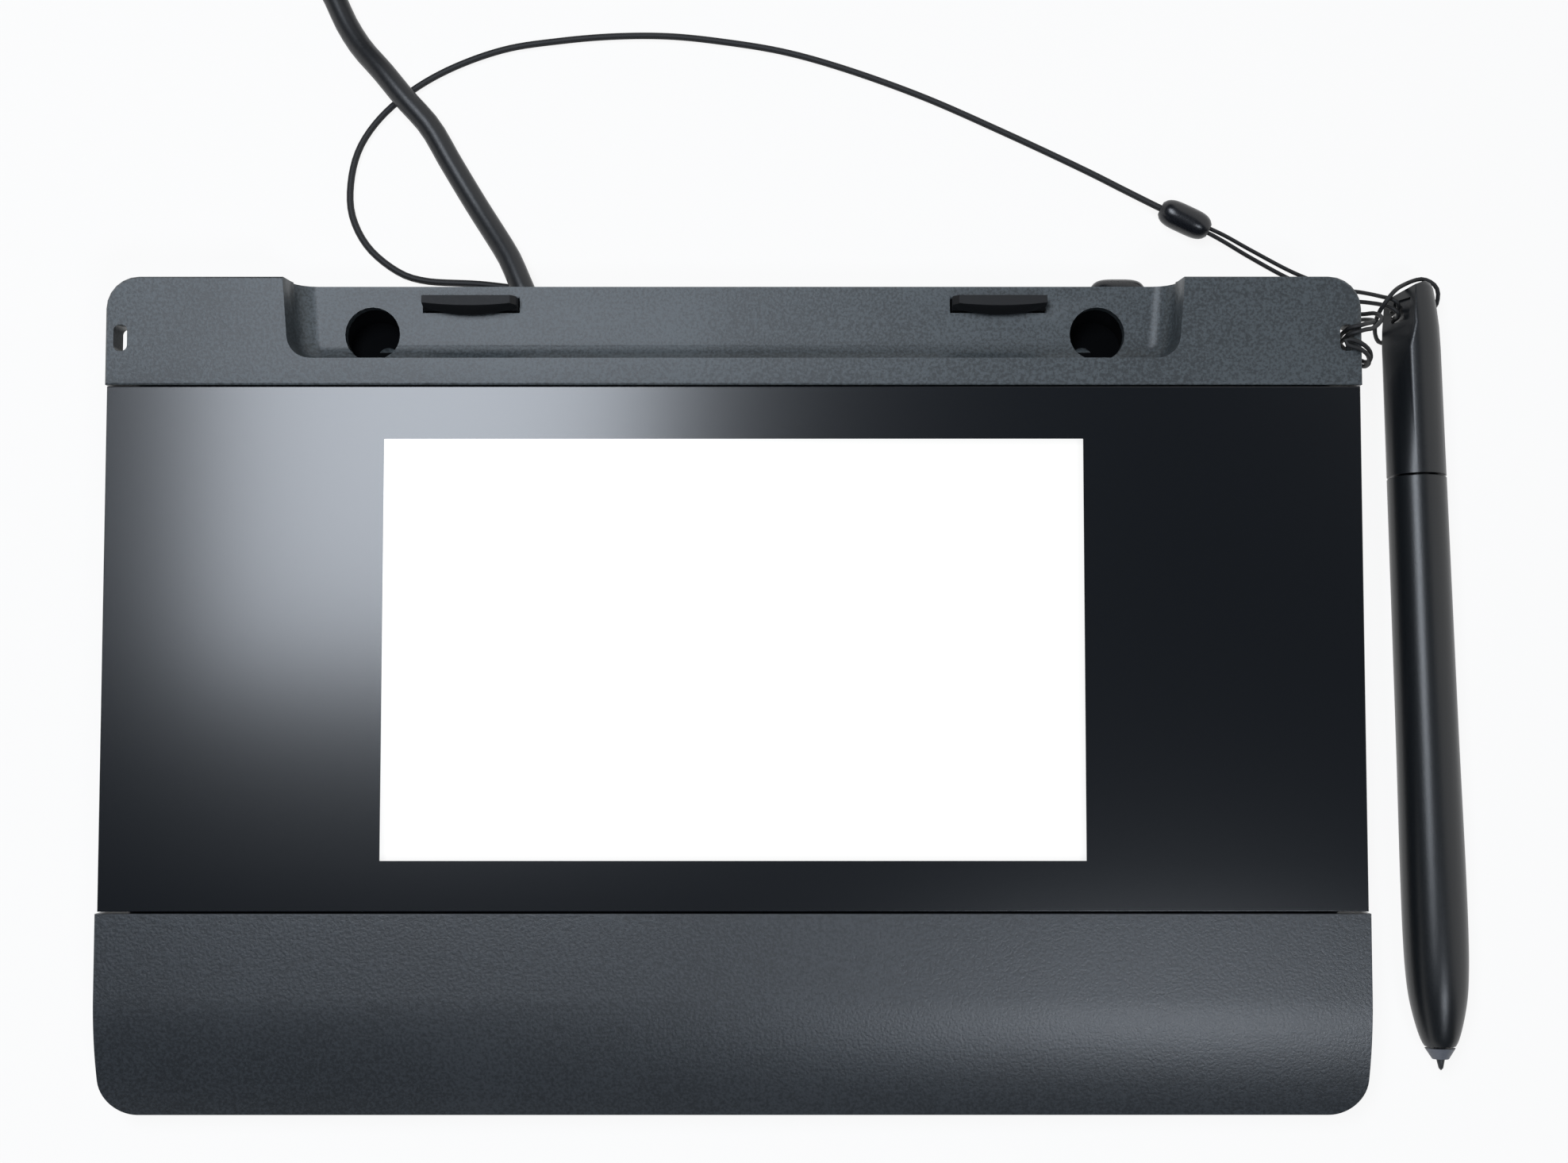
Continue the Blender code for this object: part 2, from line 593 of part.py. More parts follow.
def least_gap(points, diameter):
    """The least distance between stretches of one tube that aren't next to each other, less its diameter."""
    least, skip = math.inf, 3 * diameter
    along = [0.0]
    for start, end in zip(points, points[1:]):
        along.append(along[-1] + (end - start).length)
    for i, point in enumerate(points):
        for j in range(i + 1, len(points)):
            if along[j] - along[i] > skip:
                least = min(least, (points[j] - point).length)
    return least - diameter


def add_tube(name, points, diameter, frame, finish, resolution=2):
    curve = bpy.data.curves.new(name, "CURVE")
    curve.dimensions = "3D"
    curve.bevel_depth = diameter / 2
    curve.bevel_resolution = resolution
    curve.use_fill_caps = True
    spline = curve.splines.new("POLY")
    spline.points.add(len(points) - 1)
    for point, place in zip(spline.points, points):
        point.co = (*place, 1)
    curve.materials.append(finish)
    obj = bpy.data.objects.new(name, curve)
    obj.parent = frame
    PARTS.objects.link(obj)
    return obj


def height_on_deck(y, below=0.0):
    """Height above the desk of the deck plane, or of a plane this far below it, at a level distance y."""
    return FRONT_HEIGHT + y * math.tan(DECK_TILT) - below / math.cos(DECK_TILT)


def mirrored(values):
    return [(side, (side * values[0], *values[1:])) for side in (-1, 1)]


def screw_boss(cover, x, y, below):
    """A hollow boss that reaches from a cover's skin down to the tub's screw pad."""
    top = height_on_deck(y, below)
    bottom = SCREW_SEAT + GAP
    for side in (-1, 1):
        place = (side * x, y, 0)
        name = f"{cover.name}_boss_{side}"
        join(cover, add_helper(name, rod(BOSS_RADIUS, bottom, top), STAND, place))
        hole = rod(SCREW_SHANK + GAP, bottom - OVERRUN, min(SCREW_SEAT + SCREW_REACH, top - GAP * 2))
        cut(cover, add_helper(f"{name}_hole", hole, STAND, place))


def palm_rest():
    half = PAD_WIDTH / 2
    profile = [(PALM_DEPTH, -RIM_DEPTH), (PALM_DEPTH, -EDGE_CHAMFER), (PALM_DEPTH - EDGE_CHAMFER, 0)]
    steps = 8
    for step in range(steps + 1):
        share = step / steps
        roll = ROLL_START + (NOSE_RADIUS - NOSE_REACH - ROLL_START) * share
        profile.append((roll, -ROLL_DROP * share**2))
    nose = -ROLL_DROP - NOSE_RADIUS
    shoulder = nose + NOSE_RADIUS * 2 / 3
    profile += [(EDGE_CHAMFER - NOSE_REACH, shoulder), (-NOSE_REACH, nose), (-NOSE_REACH, -RIM_DEPTH)]
    body = add_part("palm_rest", plate(profile, -half, half, across=True), DECK, DARK_HOUSING)
    right = [(half - NOSE_TAPER, -NOSE_REACH), (half, ROLL_START), (half, PALM_DEPTH + OVERRUN)]
    left = [(-x, y) for x, y in reversed(right)]
    radii = (FRONT_CORNER, TAPER_RADIUS, 0, 0, TAPER_RADIUS, FRONT_CORNER)
    plan = plate(rounded_outline(right + left, radii), -RIM_DEPTH - OVERRUN, OVERRUN)
    combine(body, add_helper("palm_rest_plan", plan, DECK), "INTERSECT")
    inside = half - OVERHANG - TUB_WALL - GAP
    front = OVERHANG + TUB_WALL + GAP
    hollow = [
        (PALM_DEPTH - SKIN, -RIM_DEPTH - OVERRUN), (PALM_DEPTH - SKIN, -SKIN), (ROLL_START, -SKIN),
        (front + SKIN, -SKIN - ROLL_DROP / 2), (front, -SKIN - ROLL_DROP), (front, -RIM_DEPTH - OVERRUN),
    ]
    cut(body, add_helper("palm_rest_hollow", plate(hollow, -inside, inside, across=True), DECK))
    screw_boss(body, PALM_SCREW_X, PALM_SCREW_Y, SKIN / 2)


def display_panel():
    half = PAD_WIDTH / 2 - PALM_PROUD
    low = (-half, PALM_DEPTH + SEAM, -PANEL_DROP - PANEL_THICKNESS)
    high = (half, REAR_FRONT - SEAM, -PANEL_DROP)
    panel = add_part("display_panel", box(low, high), DECK, PANEL)
    bevel = panel.modifiers.new("edges", "BEVEL")
    bevel.width = EDGE_CHAMFER / 2
    bevel.segments = 1


def layer(name, width, height, top, thickness, finish):
    """A flat plate of the screen stack, centred on the screen."""
    low = (-width / 2, SCREEN_MIDDLE - height / 2, -top - thickness)
    high = (width / 2, SCREEN_MIDDLE + height / 2, -top)
    return add_part(name, box(low, high), DECK, finish)


def opening(name, width, height, low, high):
    front, back = SCREEN_MIDDLE - height / 2, SCREEN_MIDDLE + height / 2
    return add_helper(name, box((-width / 2, front, low), (width / 2, back, high)), DECK)


def mid_frame():
    half = PAD_WIDTH / 2 - PALM_PROUD
    low = (-half, PALM_DEPTH + SEAM, -RIM_DEPTH)
    high = (half, REAR_FRONT - SEAM, -FRAME_TOP)
    body = add_part("mid_frame", box(low, high), DECK, DARK_HOUSING)
    inside = half + PALM_PROUD - OVERHANG - TUB_WALL - GAP
    pocket_front = SCREEN_MIDDLE - LCD_HEIGHT / 2 + FRAME_POCKET_MARGIN
    pocket_back = SCREEN_MIDDLE + LCD_HEIGHT / 2 - FRAME_POCKET_MARGIN
    pocket = box(
        (-inside, pocket_front, -RIM_DEPTH - OVERRUN), (inside, pocket_back, -FRAME_TOP - FRAME_PLATE)
    )
    cut(body, add_helper("mid_frame_pocket", pocket, DECK))
    screw_boss(body, FRAME_SCREW_X, FRAME_SCREW_Y, FRAME_TOP + FRAME_PLATE / 2)
    window = opening(
        "mid_frame_window", LCD_WIDTH + 2 * GAP, LCD_HEIGHT + 2 * GAP, -RIM_DEPTH - OVERRUN, OVERRUN
    )
    cut(body, window)


def screen_stack():
    tape = LCD_WIDTH - 2 * GASKET_MARGIN, LCD_HEIGHT - 2 * GASKET_MARGIN
    gasket = layer("panel_gasket", *tape, FRAME_TOP, GASKET_THICKNESS, FOAM)
    view = SCREEN_WIDTH + 2 * SCREEN_BORDER, SCREEN_HEIGHT + 2 * SCREEN_BORDER
    cut(gasket, opening("gasket_window", *view, -LCD_TOP - OVERRUN, OVERRUN))
    lcd = layer("lcd_module", LCD_WIDTH, LCD_HEIGHT, LCD_TOP, LCD_THICKNESS, SCREEN_GLASS)
    cut(lcd, opening("lcd_window", *view, -LCD_TOP - LCD_WINDOW_DROP, OVERRUN))
    light = LCD_WIDTH - 2 * BACKLIGHT_MARGIN, LCD_HEIGHT - 2 * BACKLIGHT_MARGIN
    layer("backlight", *light, BACKLIGHT_TOP, BACKLIGHT_THICKNESS, WHITE_PLASTIC)
    board = LCD_WIDTH + 2 * DIGITIZER_PROUD, LCD_HEIGHT + 2 * DIGITIZER_PROUD
    layer("digitizer_board", *board, DIGITIZER_TOP, DIGITIZER_THICKNESS, CIRCUIT_BOARD)
    shield = LCD_WIDTH - 2 * SHIELD_MARGIN, LCD_HEIGHT - 2 * SHIELD_MARGIN
    layer("shield_plate", *shield, SHIELD_TOP, SHIELD_THICKNESS, STEEL)


def tray_recess():
    """The tray's hollow: open at the back, filleted along the floor, narrower towards the front."""
    back = PAD_DEPTH + TRAY_FILLET + OVERRUN
    narrow, wide = TRAY_HALF - TRAY_NARROWING, TRAY_HALF
    corners = [(-narrow, TRAY_FRONT), (narrow, TRAY_FRONT), (wide, back), (-wide, back)]
    outline = rounded_outline(corners, (TRAY_CORNER, TRAY_CORNER, 0, 0))
    bm = bmesh.new()
    bm.from_mesh(plate(outline, -TRAY_DEPTH, OVERRUN))
    for vert in bm.verts:
        if vert.co.z < 0:
            vert.co.x -= math.copysign(TRAY_DRAFT, vert.co.x)
    mesh = mesh_from(bm)
    return add_helper("tray_recess", softened(mesh, -TRAY_DEPTH, TRAY_FILLET, 4), DECK)


def grip_slot(side, grow, bottom, top):
    """A box round one grip's slot, grown all round, between two depths below the deck."""
    wide, deep = GRIP_SLOT_WIDTH / 2 + grow, GRIP_SLOT_DEPTH / 2 + grow
    x = side * GRIP_SLOT_X
    return box((x - wide, GRIP_SLOT_Y - deep, -bottom), (x + wide, GRIP_SLOT_Y + deep, -top))


def rear_cover():
    half = PAD_WIDTH / 2
    corners = rectangle((-half, REAR_FRONT), (half, PAD_DEPTH))
    outline = rounded_outline(corners, (0, 0, BACK_CORNER, BACK_CORNER))
    mesh = softened(plate(outline, -RIM_DEPTH, 0), 0, EDGE_CHAMFER, 1)
    cover = add_part("rear_cover", mesh, DECK, HOUSING)
    outside = TRAY_HALF + TRAY_WALL
    inside = half - OVERHANG - TUB_WALL - GAP
    for side in (-1, 1):
        near, far = sorted((side * (outside + GAP), side * inside))
        low = (near, REAR_FRONT + SKIN, -RIM_DEPTH - OVERRUN)
        high = (far, PAD_DEPTH - OVERHANG, -SKIN)
        cut(cover, add_helper(f"rear_hollow_{side}", box(low, high), DECK))
    low = (-outside, TRAY_FRONT - TRAY_WALL, -TRAY_UNDERSIDE)
    high = (outside, PAD_DEPTH - TRAY_SETBACK, -SKIN)
    join(cover, add_helper("tray_block", box(low, high), DECK))
    for side in (-1, 1):
        block = grip_slot(side, GRIP_BLOCK_WALL, GRIP_BLOCK_BOTTOM, TRAY_DEPTH + TRAY_FLOOR / 2)
        join(cover, add_helper(f"grip_block_{side}", block, DECK))
    cut(cover, tray_recess())
    for side, place in mirrored((SOCKET_X, SOCKET_Y, 0)):
        hole = rod(SOCKET_RADIUS, -TRAY_UNDERSIDE - OVERRUN, -TRAY_DEPTH / 2, FINE_STEPS)
        cut(cover, add_helper(f"socket_hole_{side}", hole, DECK, place))
        pocket = grip_slot(side, 0, TRAY_DEPTH + GRIP_POCKET, TRAY_DEPTH / 2)
        cut(cover, add_helper(f"grip_pocket_{side}", pocket, DECK))
        x = side * (half - TETHER_SLOT_FROM_SIDE - TETHER_SLOT_WIDTH / 2)
        y = PAD_DEPTH - TETHER_SLOT_FROM_BACK
        wide, long = TETHER_SLOT_WIDTH / 2, TETHER_SLOT_LENGTH / 2
        outline = rounded_outline(rectangle((-wide, -long), (wide, long)), [TETHER_SLOT_CORNER] * 4)
        slot = plate(outline, -RIM_DEPTH - OVERRUN, OVERRUN)
        cut(cover, add_helper(f"tether_slot_{side}", slot, DECK, (x, y, 0)))
    screw_boss(cover, REAR_SCREW_X, REAR_SCREW_Y, SKIN / 2)


def cup_axis(side):
    """Where a socket's cup meets the tray's underside, its lean, its length down and its rise up to cut."""
    y = SOCKET_Y * math.cos(DECK_TILT) + TRAY_UNDERSIDE * math.sin(DECK_TILT)
    z = height_on_deck(y, TRAY_UNDERSIDE + GAP)
    outer = SOCKET_RADIUS + CUP_WALL
    length = (z - FLOOR_TOP - GAP - outer * math.sin(SOCKET_LEAN)) / math.cos(SOCKET_LEAN)
    rise = outer * math.tan(SOCKET_LEAN + DECK_TILT) + GAP
    return (side * SOCKET_X, y, z), (-SOCKET_LEAN, 0, 0), length, rise


def pen_sockets():
    """Cups that lean forward under the tray's floor, each with a small lug on its inner front side."""
    for side, name in ((-1, "left_pen_socket"), (1, "right_pen_socket")):
        place, turn, length, rise = cup_axis(side)
        outer = rod(SOCKET_RADIUS + CUP_WALL, -length, rise, FINE_STEPS)
        cup = add_part(name, outer, STAND, SOCKET, place, turn)
        bore = rod(SOCKET_RADIUS, -length + CUP_WALL, rise + OVERRUN, FINE_STEPS)
        hollow = add_helper(f"{name}_bore", bore, STAND, place, turn)
        reach = SOCKET_RADIUS - LUG_RADIUS / 2
        lug = rod(LUG_RADIUS, -length - OVERRUN, -LUG_TOP_BELOW)
        inward = -side * reach * math.cos(LUG_BEARING)
        lug.transform(Matrix.Translation((inward, -reach * math.sin(LUG_BEARING), 0)))
        cut(hollow, add_helper(f"{name}_lug", lug, STAND, place, turn))
        cut(cup, hollow)
        low = (-PAD_WIDTH, REAR_FRONT, -TRAY_UNDERSIDE - GAP)
        above = box(low, (PAD_WIDTH, PAD_DEPTH + OVERRUN, PAD_DEPTH))
        cut(cup, add_helper(f"{name}_top", above, DECK))


def grip_pads():
    """Soft tongues that stand in the tray's slots and bow towards the pen."""
    axis = TRAY_DEPTH + GRIP_POCKET / 2
    low, high = GAP - GRIP_POCKET / 2, GRIP_POCKET / 2 + GRIP_RISE
    root_top = GRIP_POCKET / 2 + 2 * GAP
    half, back = GRIP_SLOT_WIDTH / 2 - GAP, GRIP_SLOT_DEPTH / 2 - GAP
    steps = 8
    for side, name in ((-1, "left_grip_pad"), (1, "right_grip_pad")):
        place = (side * GRIP_SLOT_X, GRIP_SLOT_Y, -axis)
        bowed = []
        for step in range(steps + 1):
            share = 2 * step / steps - 1
            front = back - GRIP_THICKNESS - GRIP_BOW * (1 - share**2)
            bowed.append((share * half, front))
        bowed += [(half, back), (-half, back)]
        body = add_part(name, plate(bowed, root_top - GAP, high), DECK, RUBBER, place)
        root = box((-half, -back, low), (half, back, root_top))
        join(body, add_helper(f"{name}_root", root, DECK, place))
        corner = box((-GRIP_CHAMFER, -OVERRUN, -GRIP_CHAMFER), (GRIP_CHAMFER, OVERRUN, GRIP_CHAMFER))
        spot = (place[0] - side * half, place[1], place[2] + high)
        trim = add_helper(f"{name}_chamfer", corner, DECK, spot, (0, math.radians(45.0), 0))
        cut(body, trim)


def tub_profile(inset, floor, top):
    """Side view of the tub, whose back wall leans out as it rises."""
    foot = PAD_DEPTH * math.cos(DECK_TILT) - TUB_BACK_AT_FOOT - inset
    rim = PAD_DEPTH * math.cos(DECK_TILT) - TUB_BACK_AT_RIM - inset
    shoulder = height_on_deck(PAD_DEPTH, TRAY_UNDERSIDE)
    slope = (rim - foot) / (shoulder - FOOT_STAND)
    foot += slope * (floor - FOOT_STAND)
    front = OVERHANG + inset
    return [(front, floor), (foot, floor), (rim, shoulder), (rim, top), (front, top)]


def tub_solid(name, inset, floor, top, add):
    half = PAD_WIDTH / 2 - OVERHANG - inset
    solid = add(name, plate(tub_profile(inset, floor, top), -half, half, across=True))
    depth = PAD_DEPTH * math.cos(DECK_TILT)
    corners = rectangle((-half, OVERHANG + inset), (half, depth - TUB_BACK_AT_RIM - inset))
    plan = plate(rounded_outline(corners, [TUB_CORNER] * 4), floor - OVERRUN, top + OVERRUN)
    combine(solid, add_helper(f"{name}_plan", plan, STAND), "INTERSECT")
    return solid


def exit_point(out=0.0):
    """A point on the lead's axis, this far outside the tub's back wall."""
    y = PAD_DEPTH * math.cos(DECK_TILT) - TUB_BACK_AT_FOOT
    return Vector((EXIT_X - out * math.sin(EXIT_TURN), y + out * math.cos(EXIT_TURN), EXIT_HEIGHT))


def along_exit(radius, start, end, steps=ROUND_STEPS):
    """A cylinder on the lead's axis between two distances outside the back wall."""
    mesh = rod(radius, start, end, steps)
    turn = Matrix.Rotation(EXIT_TURN, 4, "Z") @ Matrix.Rotation(math.radians(-90.0), 4, "X")
    mesh.transform(Matrix.Translation(exit_point()) @ turn)
    return mesh


def board_holes():
    x = BOARD_WIDTH / 2 - BOARD_HOLE_INSET
    ys = (BOARD_FRONT + BOARD_HOLE_INSET, BOARD_BACK - BOARD_HOLE_INSET)
    return [(side * x, y, 0) for side in (-1, 1) for y in ys]


def screw_places():
    rows = (
        ("front", PALM_SCREW_X, PALM_SCREW_Y), ("middle", FRAME_SCREW_X, FRAME_SCREW_Y),
        ("rear", REAR_SCREW_X, REAR_SCREW_Y),
    )
    hands = ((-1, "left"), (1, "right"))
    return [(f"{hand}_{row}_screw", (side * x, y, 0)) for row, x, y in rows for side, hand in hands]


def foot_places():
    x = PAD_WIDTH / 2 - FOOT_FROM_SIDE
    depth = PAD_DEPTH * math.cos(DECK_TILT)
    ys = (("front", FOOT_FROM_FRONT), ("rear", depth - FOOT_FROM_BACK))
    names = ((-1, "left"), (1, "right"))
    return [(f"{hand}_{end}_foot", (side * x, y, 0)) for side, hand in names for end, y in ys]


def tub_fittings():
    """Solids that stay standing inside the tub: screw pads, board bosses, ribs and the lead's gland."""
    tall = FRONT_HEIGHT + PAD_DEPTH
    kept = []
    for name, place in screw_places():
        pad = rod(SCREW_PAD, FOOT_STAND + GAP, SCREW_SEAT)
        kept.append(add_helper(f"{name}_pad", pad, STAND, place))
    for i, place in enumerate(board_holes()):
        boss = rod(BOARD_BOSS, FOOT_STAND + GAP, FLOOR_TOP + BOARD_STANDOFF)
        kept.append(add_helper(f"board_boss_{i}", boss, STAND, place))
    for i in (-1, 0, 1):
        x, half = i * RIB_SPACING, RIB_THICKNESS / 2
        rib = box((x - half, RIB_FRONT, FOOT_STAND + GAP), (x + half, BOARD_FRONT - RIB_THICKNESS, tall))
        kept.append(add_helper(f"rib_{i}", rib, STAND))
    gland = along_exit(GLAND_RADIUS, -RELIEF_IN, OVERRUN)
    kept.append(add_helper("gland_block", gland, STAND))
    return kept


def base_cover():
    tall = height_on_deck(PAD_DEPTH) + OVERRUN
    cavity = tub_solid(
        "tub_cavity", TUB_WALL, FLOOR_TOP, tall + OVERRUN, lambda name, mesh: add_helper(name, mesh, STAND)
    )
    cut(cavity, *tub_fittings())
    tub = tub_solid(
        "base_cover", 0, FOOT_STAND, tall, lambda name, mesh: add_part(name, mesh, STAND, DARK_HOUSING)
    )
    cut(tub, cavity)
    wide = PAD_WIDTH + OVERRUN
    rim = box((-wide, -PAD_DEPTH, -RIM_DEPTH - GAP), (wide, 2 * PAD_DEPTH, PAD_DEPTH))
    cut(tub, add_helper("rim_clearance", rim, DECK))
    stack = LCD_WIDTH / 2 + DIGITIZER_PROUD + 2 * GAP
    low = (-stack, PALM_DEPTH, -STACK_BOTTOM)
    cut(tub, add_helper("stack_clearance", box(low, (stack, REAR_FRONT, OVERRUN)), DECK))
    side = TRAY_HALF + TRAY_WALL + GAP
    low = (-side, TRAY_FRONT - TRAY_WALL - GAP, -TRAY_UNDERSIDE - GAP)
    cut(tub, add_helper("tray_clearance", box(low, (side, 2 * PAD_DEPTH, PAD_DEPTH)), DECK))
    for hand in (-1, 1):
        grown = grip_slot(hand, GRIP_BLOCK_WALL + GAP, GRIP_BLOCK_BOTTOM + GAP, TRAY_DEPTH)
        cut(tub, add_helper(f"grip_clearance_{hand}", grown, DECK))
        place, turn, length, rise = cup_axis(hand)
        grown = rod(SOCKET_RADIUS + CUP_WALL + GAP, -length - GAP, rise + OVERRUN, FINE_STEPS)
        cut(tub, add_helper(f"socket_clearance_{hand}", grown, STAND, place, turn))
    for name, place in screw_places():
        sink = rod(SCREW_HEAD + GAP, FOOT_STAND - OVERRUN, FLOOR_TOP)
        cut(tub, add_helper(f"{name}_sink", sink, STAND, place))
        hole = rod(SCREW_SHANK + GAP, FOOT_STAND, SCREW_SEAT + OVERRUN)
        cut(tub, add_helper(f"{name}_hole", hole, STAND, place))
    for i, place in enumerate(board_holes()):
        hole = rod(BOARD_SCREW_SHANK + GAP, FLOOR_TOP - TUB_FLOOR / 2, BOARD_TOP + OVERRUN)
        cut(tub, add_helper(f"board_boss_hole_{i}", hole, STAND, place))
    for name, place in foot_places():
        seat = rod(FOOT_RADIUS + GAP, -OVERRUN, FOOT_STAND + FOOT_BURIED + GAP, FINE_STEPS)
        cut(tub, add_helper(f"{name}_seat", seat, STAND, place))
    bore = along_exit(RELIEF_RADIUS + GAP, -RELIEF_IN - OVERRUN, 2 * OVERRUN)
    cut(tub, add_helper("gland_bore", bore, STAND))


def rubber_feet():
    for name, place in foot_places():
        mesh = softened(rod(FOOT_RADIUS, 0, FOOT_STAND + FOOT_BURIED, FINE_STEPS), 0, EDGE_CHAMFER, 1)
        add_part(name, mesh, STAND, RUBBER, place)


def fasteners():
    low = FLOOR_TOP - GAP - SCREW_HEAD_HEIGHT
    high = low + SCREW_HEAD_HEIGHT
    for name, place in screw_places():
        top = min(SCREW_SEAT + SCREW_REACH - 2 * GAP, height_on_deck(place[1], SKIN) - 4 * GAP)
        profile = [
            (0, top), (SCREW_SHANK, top), (SCREW_SHANK, high), (SCREW_HEAD, high), (SCREW_HEAD, low),
            (0, low),
        ]
        add_turned(name, profile, STAND, STEEL, place)
    seat = BOARD_TOP + GAP
    top = seat + BOARD_SCREW_HEAD_HEIGHT
    for i, place in enumerate(board_holes()):
        profile = [
            (0, top), (BOARD_SCREW_HEAD, top), (BOARD_SCREW_HEAD, seat), (BOARD_SCREW_SHANK, seat),
            (BOARD_SCREW_SHANK, FLOOR_TOP), (0, FLOOR_TOP),
        ]
        add_turned(f"board_screw_{i + 1}", profile, STAND, STEEL, place)


def main_board():
    half = BOARD_WIDTH / 2
    low, high = (-half, BOARD_FRONT, BOARD_BOTTOM), (half, BOARD_BACK, BOARD_TOP)
    board = add_part("main_board", box(low, high), STAND, CIRCUIT_BOARD)
    for i, place in enumerate(board_holes()):
        hole = rod(BOARD_SCREW_SHANK + GAP, BOARD_BOTTOM - OVERRUN, BOARD_TOP + OVERRUN)
        cut(board, add_helper(f"board_hole_{i}", hole, STAND, place))
    seat = BOARD_TOP + GAP
    for name, x_share, y_share, wide_share, deep_share in CHIP_SHARES:
        middle = Vector((BOARD_WIDTH * x_share, BOARD_FRONT + BOARD_DEPTH * y_share, seat))
        reach = Vector((BOARD_WIDTH * wide_share, BOARD_DEPTH * deep_share, 0)) / 2
        chip = box(middle - reach, middle + reach + Vector((0, 0, CHIP_HEIGHT)))
        add_part(name, chip, STAND, CHIP)
    back = BOARD_BACK - HEADER_FROM_BACK
    low = (HEADER_X - HEADER_WIDTH / 2, back - HEADER_DEPTH, seat)
    high = (HEADER_X + HEADER_WIDTH / 2, back, seat + HEADER_HEIGHT)
    add_part("usb_header", box(low, high), STAND, WHITE_PLASTIC)


def flex(name, start_v, below, reach, x, width):
    """A thin ribbon that leaves the stack's back edge, curls behind it and lands on the main board."""
    start_y = start_v * math.cos(DECK_TILT) + below * math.sin(DECK_TILT)
    level = height_on_deck(start_y, below)
    seat = BOARD_TOP + GAP + FLEX_THICKNESS / 2
    span = (level - seat) / 2
    curl = start_y + reach
    line = [(start_y, level)]
    steps = 8
    for step in range(steps + 1):
        angle = math.radians(90.0) - math.pi * step / steps
        line.append((curl + FLEX_BULGE * math.cos(angle), seat + span + span * math.sin(angle)))
    line.append((curl - FLEX_FOOT, seat))
    bm = bmesh.new()
    verts = [bm.verts.new((x - width / 2, y, z)) for y, z in line]
    edges = [bm.edges.new(pair) for pair in zip(verts, verts[1:])]
    made = bmesh.ops.extrude_edge_only(bm, edges=edges)["geom"]
    moved = [v for v in made if isinstance(v, bmesh.types.BMVert)]
    bmesh.ops.translate(bm, vec=(width, 0, 0), verts=moved)
    bmesh.ops.recalc_face_normals(bm, faces=bm.faces)
    ribbon = add_part(name, mesh_from(bm), STAND, FLEX)
    thick = ribbon.modifiers.new("thickness", "SOLIDIFY")
    thick.thickness = FLEX_THICKNESS
    thick.offset = 0


def flexes():
    """One ribbon for the display, round the sensor board's back edge, and one for that board."""
    back = SCREEN_MIDDLE + LCD_HEIGHT / 2
    start, below = back - BACKLIGHT_MARGIN + GAP, BACKLIGHT_TOP + BACKLIGHT_THICKNESS / 2
    reach = BACKLIGHT_MARGIN + DIGITIZER_PROUD + 2 * GAP
    flex("display_flex", start, below, reach, DISPLAY_FLEX_X, DISPLAY_FLEX_WIDTH)
    start, below = back + DIGITIZER_PROUD + GAP, DIGITIZER_TOP + DIGITIZER_THICKNESS / 2
    flex("sensor_flex", start, below, 2 * GAP, SENSOR_FLEX_X, SENSOR_FLEX_WIDTH)


def usb_entry():
    """The strain relief in the tub's back wall and the bare lead inside it."""
    flange = -RELIEF_IN - GAP
    profile = [
        (0, RELIEF_OUT), (RELIEF_NOSE, RELIEF_OUT), (RELIEF_RADIUS, 0), (RELIEF_RADIUS, flange),
        (RELIEF_FLANGE, flange), (RELIEF_FLANGE, flange - RELIEF_FLANGE_LENGTH),
        (0, flange - RELIEF_FLANGE_LENGTH),
    ]
    place, turn = exit_point(), (math.radians(-90.0), 0, EXIT_TURN)
    relief = add_turned("strain_relief", profile, STAND, RUBBER, place, turn)
    floor = EXIT_HEIGHT - FLOOR_TOP - GAP
    low = (-RELIEF_FLANGE - GAP, floor, flange - RELIEF_FLANGE_LENGTH - OVERRUN)
    high = (RELIEF_FLANGE + GAP, RELIEF_FLANGE + GAP, -RELIEF_IN)
    cut(relief, add_helper("relief_flat", box(low, high), STAND, place, turn))
    start = exit_point(flange - RELIEF_FLANGE_LENGTH - GAP)
    inward = (exit_point(-1) - exit_point()).normalized()
    back = BOARD_BACK - HEADER_FROM_BACK + GAP
    level = BOARD_TOP + GAP + HEADER_HEIGHT / 2
    route = [
        start, start + inward * INNER_LEAD_DIAMETER / 2,
        Vector((start.x, BOARD_BACK + 2 * GAP, (start.z + level) / 2 + GAP)),
        Vector((start.x, BOARD_BACK - INNER_LEAD_DIAMETER, level)), Vector((start.x, back, level)),
    ]
    points, _ = smooth_route(route, INNER_LEAD_DIAMETER)
    add_tube("usb_inner_lead", points, INNER_LEAD_DIAMETER, STAND, CABLE)


